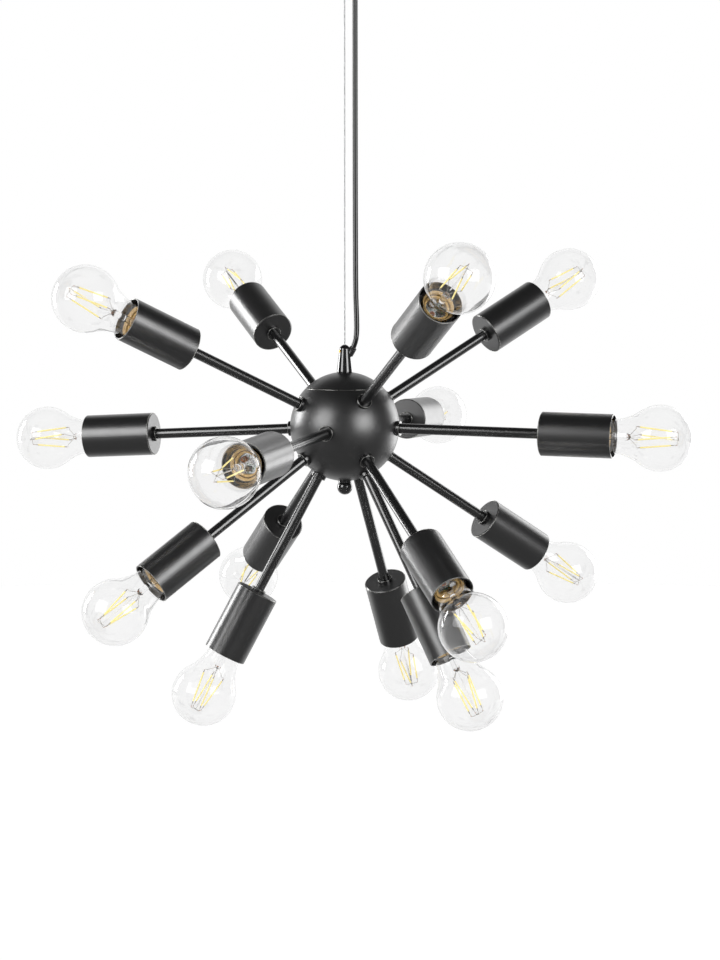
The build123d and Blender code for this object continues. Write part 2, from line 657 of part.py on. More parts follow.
def cord_bush_neck():
    """Outer radius of the bush where it passes the canopy wall."""
    return cord_bush_bore(-CANOPY_HEIGHT) + CORD_BUSH_NECK_WALL


def cord_bush():
    """A bell-mouthed bush snapped into the canopy, flared both ways for the swinging cord."""
    low = -CANOPY_HEIGHT + CANOPY_WALL - CORD_BUSH_LENGTH
    wall_top = -CANOPY_HEIGHT + CANOPY_WALL + FIT
    top = wall_top + CORD_BUSH_LIP_HEIGHT
    neck = cord_bush_neck()
    waist = cord_bush_bore(-PIVOT_DROP) + FIT
    return turned(
        (cord_bush_bore(low), low),
        (CORD_BUSH_RADIUS, low),
        (CORD_BUSH_RADIUS, -CANOPY_HEIGHT),
        (neck, -CANOPY_HEIGHT),
        (neck, wall_top),
        (neck + CORD_BUSH_LIP, wall_top),
        (neck, top),
        (cord_bush_bore(-CANOPY_HEIGHT), top),
        (cord_bush_bore(-CANOPY_HEIGHT), -CANOPY_HEIGHT),
        (waist, -PIVOT_DROP),
    )


def terminal_block():
    """The connector under the strap, with a wire hole and a screw hole for each pole."""
    length, width, height = TERMINAL_SIZE
    middle = -STRAP_THICKNESS - height / 2
    block = Pos(0, 0, middle) * Box(length, width, height)
    for pole in GridLocations(length / TERMINAL_POLES, 0, TERMINAL_POLES, 1):
        block -= Pos(0, 0, middle) * pole * Rot(90, 0, 0) * Cylinder(TERMINAL_HOLE_RADIUS, width)
    return block.solid()


def build_lamps():
    """Write every arm, cup and bulb, and the groups of small parts that repeat with them."""
    cup = lamp_cup()
    bulb = [Pos(0, 0, BULB_TIP) * piece for piece in (
        bulb_glass(), bulb_cap(), bulb_insulator(), bulb_tip(), bulb_works()
    )]
    groups = {"arm_collars": [], "arm_nuts": [], "lampholders": [], "screw_shells": []}
    for name, frame, reach in lamp_places():
        at_cup = frame * Pos(0, 0, reach)
        save(f"arm_{name}", frame * arm_tube(reach))
        save(f"lamp_cup_{name}", at_cup * cup)
        save(f"bulb_{name}", *[at_cup * piece for piece in bulb])
        groups["arm_collars"] += [frame * hub_collar(), at_cup * cup_collar()]
        groups["arm_nuts"] += [frame * arm_nut()]
        groups["lampholders"] += [at_cup * lampholder()]
        groups["screw_shells"] += [at_cup * screw_shell(), at_cup * centre_contact()]
    for node, solids in groups.items():
        save(node, *solids)


def build_hub():
    """Write the ball, its cap, the finial and what hangs it."""
    down = Pos(0, 0, -HUB_DROP)
    lower, cap = hub_halves()
    save("hub_shell", down * lower)
    save("hub_cap", down * cap)
    save("hub_finial", *[down * piece for piece in hub_finial()])
    save("hub_nipple", *[down * piece for piece in nipple_and_nut()])
    save("cord_grip", down * cord_grip())
    save("grip_fittings", *[down * piece for piece in grip_fittings()])
    save("suspension_wire", suspension_wire())
    save("power_cord", power_cord())


def build_ceiling():
    """Write the canopy, the strap and the small ceiling fittings."""
    save("ceiling_canopy", ceiling_canopy())
    save("ceiling_strap", ceiling_strap())
    screws = [
        Pos(side * CANOPY_RADIUS, 0, -SIDE_SCREW_DROP) * Rot(0, 90 * side, 0) * side_screw()
        for side in (-1, 1)
    ]
    save("canopy_fittings", *wire_grip(), Pos(CORD_OFFSET, 0, 0) * cord_bush(), terminal_block(), *screws)


os.makedirs("parts", exist_ok=True)
build_lamps()
build_hub()
build_ceiling()
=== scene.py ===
import json
import math

import bmesh
import bpy
from mathutils import Matrix, Vector


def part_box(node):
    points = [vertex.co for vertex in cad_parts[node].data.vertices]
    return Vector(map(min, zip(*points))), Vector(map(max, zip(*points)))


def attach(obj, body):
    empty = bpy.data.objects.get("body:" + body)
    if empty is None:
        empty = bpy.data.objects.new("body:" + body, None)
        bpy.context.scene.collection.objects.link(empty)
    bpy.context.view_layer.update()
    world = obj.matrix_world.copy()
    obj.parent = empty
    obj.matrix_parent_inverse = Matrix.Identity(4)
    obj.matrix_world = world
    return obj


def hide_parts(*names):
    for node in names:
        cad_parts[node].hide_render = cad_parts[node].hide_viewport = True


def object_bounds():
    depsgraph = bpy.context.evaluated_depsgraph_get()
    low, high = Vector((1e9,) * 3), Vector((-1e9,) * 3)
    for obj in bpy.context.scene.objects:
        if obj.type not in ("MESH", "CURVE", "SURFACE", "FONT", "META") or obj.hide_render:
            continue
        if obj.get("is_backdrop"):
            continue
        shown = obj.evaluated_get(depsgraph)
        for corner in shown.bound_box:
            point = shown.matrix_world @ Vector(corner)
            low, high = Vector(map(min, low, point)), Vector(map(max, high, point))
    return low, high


bl_info = {
    "name": "Sputnik Chandelier",
    "version": (1, 0, 0),
    "blender": (4, 5, 0),
    "location": "3D View > Sidebar > Chandelier",
    "description": "Dresses a fifteen-lamp sputnik chandelier: finishes, bulbs, cord, wire and studio",
    "category": "Object",
}

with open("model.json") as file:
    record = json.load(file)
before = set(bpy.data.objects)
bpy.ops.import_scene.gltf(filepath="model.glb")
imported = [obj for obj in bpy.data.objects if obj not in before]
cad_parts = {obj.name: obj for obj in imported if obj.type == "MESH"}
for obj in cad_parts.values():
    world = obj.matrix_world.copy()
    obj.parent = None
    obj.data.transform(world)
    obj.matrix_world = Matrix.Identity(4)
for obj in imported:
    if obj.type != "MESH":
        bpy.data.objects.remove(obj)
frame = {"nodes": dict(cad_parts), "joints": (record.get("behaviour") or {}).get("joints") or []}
CAD_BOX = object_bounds()

MM = 0.001

# Every arm points away from the ball's centre, which hangs this far under the ceiling.
HUB_CENTRE = Vector((0, 0, -440 * MM))

# The cord's route in millimetres, right of the ball's axis and above its centre: from inside the grip's
# side bush, out of its mouth, round into line with the wire and straight up into the canopy.
CORD_ROUTE = ((5.71, 68.51), (9.65, 76.6), (11.2, 86.5), (11.0, 103.0), (9.7, 136.0), (9.6, 411.0))

# How far past the others some bulbs are screwed in, in degrees.
BULB_TURNS = {"upper_1": 84, "middle_3": 20, "middle_1": 10}

# Along an arm in millimetres: the bulb's contact above the back of its cup, and the fine bright steel rings
# that paint highlight lines along the painted edges, above the ball's centre or the back of the cup.
CONTACT_IN_CUP = 32
HUB_COLLAR_EDGE = 53.45
CUP_COLLAR_EDGE = -2.6
CUP_BACK_EDGE = 0.8
CUP_MOUTH_EDGE = 65.8

# What the paper gives off to the eye; the lamps' light on it makes up the rest of white.
PAPER_GLOW = 0.43
FLOOR_HEIGHT = -2.4
FLOOR_RADIUS = 14
LAMP_DISTANCE = 1.7

# Where the camera stands against the ball's centre, so that the ball lies where the photograph has it.
CAMERA_RIGHT = 14.14 * MM
CAMERA_DOWN = 49.86 * MM


def linear(code):
    """The linear RGBA of an sRGB hex colour."""
    channels = [int(code[place:place + 2], 16) / 255 for place in (1, 3, 5)]
    return [
        value / 12.92 if value <= 0.04045 else ((value + 0.055) / 1.055) ** 2.4
        for value in channels
    ] + [1.0]


def colour_property(name, description, code):
    """A colour that a user can change."""
    return bpy.props.FloatVectorProperty(
        name=name, description=description, default=linear(code), size=4, subtype="COLOR", min=0, max=1
    )


def length_property(name, description, millimetres):
    """A length that a user can change."""
    return bpy.props.FloatProperty(
        name=name, description=description, default=millimetres * MM, min=0, unit="LENGTH", precision=5
    )


class ChandelierFinishes(bpy.types.PropertyGroup):
    """Colours of the painted, plated and moulded pieces."""

    powder_black: colour_property("Powder coat", "Satin black of the ball, cups and canopy", "#0d0d0e")
    enamel_black: colour_property("Arm enamel", "Semi-gloss black of the tubes and collars", "#0b0b0c")
    nylon_black: colour_property("Nylon", "Glossy black of the moulded grip and bushes", "#090909")
    phenolic_black: colour_property("Phenolic", "Black of the lampholder bodies", "#161413")
    # Colours the fine bright rings that paint highlight lines along the painted edges.
    edge_highlight_steel: colour_property("Edge highlight steel", "Bright rings that paint highlight lines along the painted edges", "#b4b4b0")
    nickel: colour_property("Nickel", "Bright nickel plate on the bulb caps and fittings", "#d8d3c8")
    brass: colour_property("Brass", "Bare brass inside the caps and at the set screw", "#c39a52")
    zinc: colour_property("Zinc", "Bright zinc plate on the strap and nuts", "#c4c8cc")
    copper: colour_property("Copper", "Enamelled copper of the coil and the lead joints", "#b8693a")
    aluminium: colour_property("Aluminium", "Drawn can of the capacitor", "#d4d6d8")
    glass: colour_property("Glass", "Clear blown glass of the bulbs", "#fbfbfb")
    cement: colour_property("Basing cement", "Tan cement that holds the glass in its cap", "#e0bd7a")
    phosphor: colour_property("Filament", "Pale yellow silicone and phosphor of the filaments", "#fff0a0")
    lead_wire: colour_property("Lead wire", "Dull wire that carries the filaments", "#b4b0a8")
    board_green: colour_property("Driver board", "Green solder mask of the board in each cap", "#2b7a55")
    ivory: colour_property("Polyamide", "Natural ivory of the terminal block", "#e6e0d0")
    cord_black: colour_property("Cord", "Glossy black sheath of the power cord", "#0a0a0a")
    wire_steel: colour_property("Wire", "Galvanised steel of the suspension wire", "#eef0f0")


class ChandelierBulb(bpy.types.PropertyGroup):
    """Sizes of one clear bulb, measured from its centre contact."""

    length: length_property("Length", "Centre contact to crown", 106)
    globe_radius: length_property("Globe radius", "Outer radius of the globe", 30)
    neck_radius: length_property("Neck radius", "Outer radius of the glass neck", 15.5)
    neck_drop: length_property("Neck drop", "Globe centre down to the neck", 44)
    glass_wall: length_property("Glass wall", "Thickness of the blown glass", 0.5)
    cap_radius: length_property("Cap radius", "Crest radius of the screw cap", 13.1)
    cap_top: length_property("Cap top", "Contact to the rim of the screw cap", 26.3)
    cap_foot: length_property("Cap foot", "Contact to the lower edge of the screw cap", 3.2)
    thread_pitch: length_property("Thread pitch", "Seven rolled threads to the inch", 25.4 / 7)
    thread_depth: length_property("Thread depth", "Crest to root of the rolled thread", 0.75)
    stem_top: length_property("Stem top", "Contact to the pinch of the glass stem", 49)
    filament_foot: length_property("Filament foot", "Contact to the filaments' lower ends", 56)
    filament_head: length_property("Filament head", "Contact to the filaments' upper ends", 88.5)
    foot_spread: length_property("Foot spread", "Filament foot from the axis", 9.8)
    head_spread: length_property("Head spread", "Filament head from the axis", 6.2)
    filament_radius: length_property("Filament radius", "Half the filament's thickness", 0.68)
    tip_length: length_property("Tip length", "Metal tab crimped on each end of a filament", 2.2)
    twist: bpy.props.FloatProperty(
        name="Twist",
        description="Turn from filament foot to head",
        default=math.radians(-25),
        subtype="ANGLE",
    )
    filaments: bpy.props.IntProperty(name="Filaments", description="Filaments in each bulb", default=4, min=1)


class ChandelierLines(bpy.types.PropertyGroup):
    """Sizes of the power cord and the suspension wire."""

    cord_diameter: length_property("Cord diameter", "Sheath of the power cord", 5.2)
    wire_diameter: length_property("Wire diameter", "Steel suspension wire", 1.3)
    wire_lay: length_property("Wire lay", "Length of one full turn of its strands", 6)
    crimp_radius: length_property("Crimp ball radius", "Ball pressed on the wire's upper end", 2)


class ChandelierStudio(bpy.types.PropertyGroup):
    """Camera and lamps."""

    camera_distance: length_property("Camera distance", "Camera to the ball's centre, along its view", 2150)
    camera_pitch: bpy.props.FloatProperty(
        name="Camera pitch",
        description="How far the camera looks down",
        default=math.radians(4.87),
        subtype="ANGLE",
    )
    focal_length: bpy.props.FloatProperty(
        name="Focal length", description="Lens in millimetres on a 36 mm sensor", default=86.67, min=1
    )
    background: colour_property("Background", "What shows behind the object and in the floor", "#ffffff")
    surround: colour_property("Surround", "Dim studio in front that dark paint and glass mirror", "#626262")
    softbox_radiance: bpy.props.FloatProperty(
        name="Softbox radiance", description="Brightness of the two front softboxes", default=3.9, min=0
    )
    strip_radiance: bpy.props.FloatProperty(
        name="Strip radiance", description="Brightness of the strip behind at the left", default=12.0, min=0
    )
    panel_radiance: bpy.props.FloatProperty(
        name="Panel radiance", description="Brightness of the panel behind at the right", default=3.0, min=0
    )


def finishes():
    return bpy.context.scene.chandelier_finishes


def bulb_sizes():
    return bpy.context.scene.chandelier_bulb


def line_sizes():
    return bpy.context.scene.chandelier_lines


def studio_values():
    return bpy.context.scene.chandelier_studio


# Materials


def add_node(tree, kind, inputs=(), **settings):
    """One node with its settings, its inputs set to a value or linked from a socket."""
    node = tree.nodes.new(kind)
    for name, value in settings.items():
        setattr(node, name, value)
    for key, value in dict(inputs).items():
        if isinstance(value, bpy.types.NodeSocket):
            tree.links.new(value, node.inputs[key])
        else:
            node.inputs[key].default_value = value
    return node


def per_metre(millimetres):
    """The scale of a pattern whose grain is this many millimetres across."""
    return 1 / (millimetres * MM)


def new_material(name):
    """An empty node material with its output and object coordinates."""
    material = bpy.data.materials.new(name)
    material.use_nodes = True
    tree = material.node_tree
    tree.nodes.clear()
    output = add_node(tree, "ShaderNodeOutputMaterial")
    place = add_node(tree, "ShaderNodeTexCoord").outputs["Object"]
    return material, tree, output, place


def mottle(tree, place, grain, low, high):
    """A value that wanders between low and high in patches of this many millimetres."""
    noise = add_node(
        tree,
        "ShaderNodeTexNoise",
        {"Vector": place, "Scale": per_metre(grain), "Detail": 3, "Roughness": 0.6},
    )
    spread = add_node(
        tree,
        "ShaderNodeMapRange",
        {"Value": noise.outputs["Fac"], "From Min": 0.3, "From Max": 0.7, "To Min": low, "To Max": high},
    )
    return spread.outputs["Result"]


def grain_bump(tree, place, grain, depth, strength):
    """A surface normal with an even grain this many millimetres across and deep."""
    noise = add_node(tree, "ShaderNodeTexNoise", {"Vector": place, "Scale": per_metre(grain), "Detail": 2})
    bump = add_node(
        tree, "ShaderNodeBump", {"Height": noise.outputs["Fac"], "Distance": depth * MM, "Strength": strength}
    )
    return bump.outputs["Normal"]


def surface(name, colour, tint, roughness, bump, sockets):
    """A Principled material. Tint is a grain in millimetres and what multiplies red, green and blue there,
    roughness one number or a grain and two levels, and bump a grain, a depth and a strength."""
    material, tree, output, place = new_material(name)
    inputs = {"Base Color": colour, "Roughness": roughness, **sockets}
    if tint:
        grain, *factors = tint
        other = [value * factor for value, factor in zip(colour, factors)] + [1.0]
        patches = mottle(tree, place, grain, 0.0, 1.0)
        shades = {"Factor": patches, "A": colour, "B": other}
        shade = add_node(tree, "ShaderNodeMix", shades, data_type="RGBA")
        inputs["Base Color"] = shade.outputs["Result"]
    if isinstance(roughness, tuple):
        inputs["Roughness"] = mottle(tree, place, *roughness)
    if bump:
        inputs["Normal"] = grain_bump(tree, place, *bump)
    shader = add_node(tree, "ShaderNodeBsdfPrincipled", inputs)
    tree.links.new(shader.outputs["BSDF"], output.inputs["Surface"])
    return material


def powder_coat(name, colour, roughness):
    """Polyester powder sprayed on steel and baked: a deep even satin black with a faintly pebbled sheen."""
    haze = (9, roughness - 0.02, roughness + 0.02)
    # The real pebble is about 0.4 mm; 1.2 mm is the finest that this camera shows.
    pebble = (1.2, 0.01, 0.2)
    # The fine metallic bloom in the powder doubles what the paint mirrors.
    bloom = {"IOR": 1.75, "Specular IOR Level": 1.0}
    return surface(name, colour, (30, 1.25, 1.25, 1.25), haze, pebble, bloom)


def gloss_enamel(name, colour, roughness):
    """Acrylic enamel on drawn tube: black, with one clean thin bright line along the tube."""
    lacquer = {"IOR": 1.7, "Specular IOR Level": 1.0}
    return surface(name, colour, (20, 1.3, 1.3, 1.3), roughness, None, lacquer)


def moulded_plastic(name, colour, roughness, shine=0.0):
    """Injection-moulded plastic: smooth and wet-looking, with faint flow marks in the gloss."""
    coat = {"IOR": 1.6, "Coat Weight": shine, "Coat Roughness": roughness, "Coat IOR": 1.8}
    haze = (4, roughness * 0.8, roughness * 1.3)
    return surface(name, colour, (5, 1.2, 1.2, 1.2), haze, (6, 0.01, 0.1), coat)


def plated_metal(name, colour, roughness, grain):
    """Electroplate on turned or pressed metal: bright, with fine blotches of haze and tool marks under it."""
    haze = (grain, roughness * 0.7, roughness * 1.4)
    return surface(name, colour, (grain * 4, 0.8, 0.8, 0.8), haze, (grain / 2, 0.01, 0.3), {"Metallic": 1.0})


def blown_glass(name, colour):
    """Soda-lime glass blown in a mould: clear and bright, its skin very slightly hazed in long patches."""
    return surface(name, colour, None, (40, 0.0, 0.012), None, {"IOR": 1.5, "Transmission Weight": 1.0})


def phosphor_silicone(name, colour):
    """Silicone loaded with phosphor, drawn round a strip of diodes: a soft pale yellow with a chalky skin."""
    return surface(name, colour, (1.3, 1.0, 0.95, 0.8), 0.55, (0.6, 0.02, 0.4), {"IOR": 1.41})


def basing_cement(name, colour):
    """Resin and marble flour baked between glass and cap: dull golden brown, uneven and a little gritty."""
    return surface(name, colour, (1.1, 0.42, 0.36, 0.3), 0.7, (0.5, 0.1, 0.8), {})


def circuit_board(name, board, metal):
    """Fibreglass board under solder mask: glossy green showing between broad tinned pads and tracks."""
    material, tree, output, place = new_material(name)
    tracks = add_node(
        tree,
        "ShaderNodeTexVoronoi",
        {"Vector": place, "Scale": per_metre(2.2)},
        feature="DISTANCE_TO_EDGE",
        distance="EUCLIDEAN",
    )
    edge = add_node(
        tree, "ShaderNodeMath", {0: tracks.outputs["Distance"], 1: 0.22}, operation="LESS_THAN"
    ).outputs["Value"]
    shade = add_node(tree, "ShaderNodeMix", {"Factor": edge, "A": board, "B": metal}, data_type="RGBA")
    shine = mottle(tree, place, 2, 0.2, 0.35)
    shader = add_node(
        tree,
        "ShaderNodeBsdfPrincipled",
        {"Base Color": shade.outputs["Result"], "Metallic": edge, "Roughness": shine},
    )
    tree.links.new(shader.outputs["BSDF"], output.inputs["Surface"])
    return material


def clothe(material, *names):
    """Give CAD nodes their finish."""
    for name in names:
        piece = frame["nodes"][name]
        piece.data.materials.clear()
        piece.data.materials.append(material)


# Meshes


def smooth(mesh, angle=math.radians(40)):
    """Shade smooth, with creases kept where faces meet at more than the angle."""
    mesh.shade_smooth()
    mesh.set_sharp_from_angle(angle=angle)


def mesh_from(shape, name):
    """The bmesh's faces as a smooth-shaded mesh."""
    mesh = bpy.data.meshes.new(name)
    shape.to_mesh(mesh)
    shape.free()
    smooth(mesh)
    return mesh


def spaced(low, high, count):
    """Evenly spaced values from low to high, both included."""
    return [low + (high - low) * step / count for step in range(count + 1)]


def facet(angle, sides):
    """How much nearer a flat side is than its corner, at an angle round a many-sided shape."""
    half = math.pi / sides
    return math.cos(half) / math.cos(angle % (2 * half) - half)


def lathe(name, outline, segments=64, ripple=None):
    """A mesh turned about Z from (radius, height) points in metres; ripple moves a point in or out."""
    shape = bmesh.new()
    rows = []
    for radius, height in outline:
        count = 1 if radius == 0 else segments
        row = []
        for step in range(count):
            angle = 2 * math.pi * step / segments
            reach = radius + (ripple(angle, radius, height) if ripple and radius else 0)
            row.append(shape.verts.new((reach * math.cos(angle), reach * math.sin(angle), height)))
        rows.append(row)
    for low, high in zip(rows, rows[1:]):
        for step in range(segments):
            after = (step + 1) % segments
            corners = [row[place % len(row)] for row, place in (
                (low, step), (low, after), (high, after), (high, step)
            )]
            face = list(dict.fromkeys(corners))
            if len(face) > 2:
                shape.faces.new(face)
    bmesh.ops.remove_doubles(shape, verts=shape.verts, dist=MM / 1000)
    bmesh.ops.recalc_face_normals(shape, faces=shape.faces)
    return mesh_from(shape, name)


def turned(name, profile, segments=64, ripple=None):
    """A lathe shape from (radius, height) points in millimetres."""
    return lathe(name, [(radius * MM, height * MM) for radius, height in profile], segments, ripple)


def tube_along(name, paths, radius, sides=10):
    """Closed round tubes of one radius along lists of points, all in one mesh."""
    shape = bmesh.new()
    for path in paths:
        points = [Vector(point) for point in path]
        across = (points[1] - points[0]).orthogonal().normalized()
        rings = []
        for place, point in enumerate(points):
            ahead = points[min(place + 1, len(points) - 1)] - points[max(place - 1, 0)]
            along = ahead.normalized()
            across = (across - along * across.dot(along)).normalized()
            other = along.cross(across)
            turns = [2 * math.pi * side / sides for side in range(sides)]
            rings.append([
                shape.verts.new(point + radius * (math.cos(turn) * across + math.sin(turn) * other))
                for turn in turns
            ])
        for low, high in zip(rings, rings[1:]):
            for side in range(sides):
                after = (side + 1) % sides
                shape.faces.new((low[side], low[after], high[after], high[side]))
        shape.faces.new(rings[0][::-1])
        shape.faces.new(rings[-1])
    bmesh.ops.recalc_face_normals(shape, faces=shape.faces)
    return mesh_from(shape, name)


def block(name, size, centre, edge):
    """A box of this size with its edges rounded."""
    shape = bmesh.new()
    bmesh.ops.create_cube(shape, size=1)
    for vert in shape.verts:
        vert.co = Vector(centre) + Vector([part * length for part, length in zip(vert.co, size)])
    bmesh.ops.bevel(shape, geom=shape.edges, offset=edge, segments=3, profile=0.5, affect="EDGES")
    return mesh_from(shape, name)


def place_piece(name, mesh, material, body, where=None, replaced=(), finish=None):
    """One piece of the object, its mesh or curve set in place, dressed and riding on its body."""
    data = mesh.copy()
    data.name = name
    if where:
        data.transform(where)
    if material:
        data.materials.append(material)
    piece = bpy.data.objects.new(name, data)
    bpy.context.scene.collection.objects.link(piece)
    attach(piece, body)
    if replaced:
        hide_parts(*replaced)
    return piece


def pointing(origin, along, across):
    """The frame at a point in metres with Z along one direction and X along another, square to it."""
    along = Vector(along).normalized()
    across = Vector(across).normalized()
    return Matrix.Translation(origin) @ Matrix((across, along.cross(across), along)).transposed().to_4x4()


def lamps():
    """Every lamp's name and the frame at its bulb's centre contact, with Z along the arm and X level."""
    for joint in frame["joints"]:
        body = joint["child"]
        if not body.startswith("bulb_"):
            continue
        along = Vector(joint["axis"]).normalized()
        level = Vector((0, 0, 1)).cross(along).normalized()
        reach = min((vertex.co - HUB_CENTRE).dot(along) for vertex in frame["nodes"][body].data.vertices)
        yield body[len("bulb_"):], pointing(HUB_CENTRE + along * reach, along, level)


def arc(centre, radius, start, end, count):
    """Points along a circle's arc, angles measured from level."""
    return [
        (centre[0] + radius * math.cos(turn), centre[1] + radius * math.sin(turn))
        for turn in spaced(start, end, count)
    ]


# Bulbs


def neck_height():
    """The narrow neck of the glass above the cap, measured from the contact."""
    size = bulb_sizes()
    return size.length - size.globe_radius - size.neck_drop


def foot_radius():
    """Outer radius of the glass where it stands inside the cap."""
    size = bulb_sizes()
    return size.cap_radius - size.thread_depth - 0.45 * MM


def tuck_radius(height):
    """Outer radius of the glass at a height between its neck and the cap's rim."""
    size = bulb_sizes()
    step = (neck_height() - height) / (neck_height() - size.cap_top)
    return size.neck_radius + (foot_radius() - size.neck_radius) * (1 - math.cos(math.pi * step)) / 2


def globe_outline(inset):
    """The bulb's crown, waist, neck and shoulder, moved inwards by inset, from the crown down."""
    size = bulb_sizes()
    centre = size.length - size.globe_radius
    sweep = (size.neck_radius**2 + size.neck_drop**2 - size.globe_radius**2) / (
        2 * (size.globe_radius - size.neck_radius)
    )
    side = math.atan2(size.neck_drop, size.neck_radius + sweep)
    crown = arc((0, centre), size.globe_radius - inset, math.pi / 2, -side, 40)
    crown[0] = (0, crown[0][1])
    bend = (size.neck_radius + sweep, neck_height())
    waist = arc(bend, sweep + inset, math.pi - side, math.pi, 14)
    tuck = [(tuck_radius(height) - inset, height) for height in spaced(neck_height(), size.cap_top, 8)]
    return crown + waist[1:] + tuck[1:] + [(foot_radius() - inset, size.cap_top - 3 * MM)]


def glass_mesh():
    """The blown envelope with its wall, open at the foot inside the cap."""
    outside = globe_outline(0)
    inside = globe_outline(bulb_sizes().glass_wall)
    return lathe("bulb_glass", outside + inside[::-1], segments=72)


def thread_wave(pitch, depth, low, high):
    """How far a rolled thread sinks below its crest at an angle and height, fading out at both ends."""
    def wave(angle, radius, height):
        phase = 2 * math.pi * height / pitch - angle
        fade = max(0.0, min(1.0, (height - low) / pitch, (high - height) / pitch))
        return -depth / 2 * (1 - fade * math.cos(phase))
    return wave


def cap_mesh():
    """The pressed screw cap: a thin shell whose wall carries the rolled thread, with a turned-in foot."""
    size = bulb_sizes()
    wall = 0.35 * MM
    step = size.cap_foot + 2 * MM
    heights = spaced(size.cap_top, step, 56)
    outside = [(size.cap_radius, height) for height in heights]
    foot = [(9.4 * MM, size.cap_foot), (9.0 * MM, size.cap_foot), (9.0 * MM, size.cap_foot + wall)]
    inside = [(size.cap_radius - wall, height) for height in heights[::-1]]
    low, high = step + MM, size.cap_top - 2 * MM
    wave = thread_wave(size.thread_pitch, size.thread_depth, low, high)

    def ripple(angle, radius, height):
        return wave(angle, radius, height) if radius > 12 * MM else 0

    return lathe("bulb_cap", outside + foot + inside + [outside[0]], segments=72, ripple=ripple)


def cement_mesh():
    """The ring of cement inside the cap's rim, with what has run into the neck."""
    inner = foot_radius() - bulb_sizes().glass_wall - 0.15 * MM
    rim = bulb_sizes().cap_top - 0.6 * MM

    def ripple(angle, radius, height):
        return 0.25 * MM * math.sin(5 * angle) if radius < inner - MM else 0

    section = ((0, -3.4), (0, 0), (-0.6, 0.4), (-1.8, -0.4), (-2.2, -3.4), (0, -3.4))
    return lathe("bulb_cement", [(inner + out * MM, rim + up * MM) for out, up in section], ripple=ripple)


def sleeve_mesh(name, low, high, near, far, ripple=None):
    """A ring that follows the glass under its neck, with its heights above the cap's rim and its distances
    off the glass in millimetres."""
    heights = [bulb_sizes().cap_top + height * MM for height in spaced(low, high, 8)]
    inner = [(tuck_radius(height) + near * MM, height) for height in heights]
    outer = [(tuck_radius(height) + far * MM, height) for height in heights[::-1]]
    return lathe(name, inner + outer + inner[:1], 72, ripple)


def rim_cement_mesh():
    """The cement that shows between the glass and the cap's skirt, thicker in places."""
    def ripple(angle, radius, height):
        outside = radius > tuck_radius(height) + 0.5 * MM
        return 0.12 * MM * math.sin(7 * angle) * math.cos(3 * angle) if outside else 0

    return sleeve_mesh("bulb_rim_cement", 0.05, 2.7, 0.03, 0.65, ripple)


def skirt_mesh():
    """The cap's flared skirt round the foot of the glass."""
    return sleeve_mesh("bulb_skirt", -0.2, 2.3, 0.8, 1.1)


def contact_mesh():
    """The black glass bead under the cap, which the soldered centre contact stands out of."""
    return turned("bulb_insulator", [
        (0, 3.6), (8.9, 3.6), (8.9, 3.2), (7.6, 2.2), (5.2, 1.1), (3.9, 0.9), (0, 0.9),
    ])


def tip_mesh():
    """The solder-domed centre contact."""
    dome = arc((2.4, 1.3), 1.3, -math.pi / 2, 0, 6)
    return turned("bulb_tip", [(0, 0)] + dome + [(0, 1.3)])


def stem_mesh():
    """The thin flare of the glass stem, its pinch, and the fine rod that holds the filaments' heads."""
    size = bulb_sizes()
    foot = size.cap_top - 2.2 * MM
    flare = size.cap_radius - size.thread_depth - 1.9 * MM
    waist = 2.7 * MM
    wall = 0.6 * MM
    rise = 12 * MM
    skin = [
        (waist + (flare - waist) * (1 - math.sin(turn)), foot + rise * (1 - math.cos(turn)))
        for turn in spaced(0, math.pi / 2, 12)
    ]
    lining = [(radius - wall, height - wall / 2) for radius, height in skin[::-1]]
    pinch = [
        (waist * 1.15, size.stem_top - 5 * MM),
        (waist * 1.2, size.stem_top - 2 * MM),
        (waist * 0.8, size.stem_top),
        (0.7 * MM, size.stem_top + 0.8 * MM),
    ]
    top = size.filament_head + 4 * MM
    rod = [(out * MM, top + up * MM) for out, up in ((0.55, -1), (0.9, -0.4), (0.9, 0.2), (0, 0.6))]
    return lathe("bulb_stem", [(0, foot + rise)] + lining + skin + pinch + rod, segments=40)


def filament_ends():
    """Each filament's foot and head."""
    size = bulb_sizes()
    for number in range(size.filaments):
        turn = 2 * math.pi * number / size.filaments
        head_turn = turn + size.twist
        foot = Vector((math.cos(turn), math.sin(turn), 0)) * size.foot_spread
        head = Vector((math.cos(head_turn), math.sin(head_turn), 0)) * size.head_spread
        foot.z = size.filament_foot
        head.z = size.filament_head
        yield foot, head


def filament_mesh():
    """The four slanting filaments between their metal tabs."""
    size = bulb_sizes()
    paths = []
    for foot, head in filament_ends():
        along = (head - foot).normalized() * size.tip_length
        paths.append((foot + along, head - along))
    return tube_along("bulb_filaments", paths, size.filament_radius)


def tab_mesh():
    """The metal tabs crimped on the filaments' ends."""
    size = bulb_sizes()
    paths = []
    for foot, head in filament_ends():
        along = (head - foot).normalized() * size.tip_length * 1.2
        paths += [(foot, foot + along), (head - along, head)]
    return tube_along("bulb_tabs", paths, size.filament_radius * 0.72)


def lead_mesh():
    """Lead wires: out of the pinch to each filament's foot, and from each head in to the rod."""
    size = bulb_sizes()
    paths = []
    for foot, head in filament_ends():
        along = (head - foot).normalized()
        out = Vector((foot.x, foot.y, 0)).normalized()
        below = foot - along * 1.2 * MM
        root = out * 1.6 * MM + Vector((0, 0, size.stem_top - 2 * MM))
        paths.append([root, root + out * MM + Vector((0, 0, 3 * MM)), below - out * 2 * MM, below, foot])
        above = head + along * 3 * MM
        hub = Vector((0, 0, size.filament_head + 3.8 * MM))
        paths.append([head, above, above.lerp(hub, 0.15) + Vector((0, 0, 0.8 * MM)), hub])
    return tube_along("bulb_leads", paths, 0.2 * MM, sides=8)


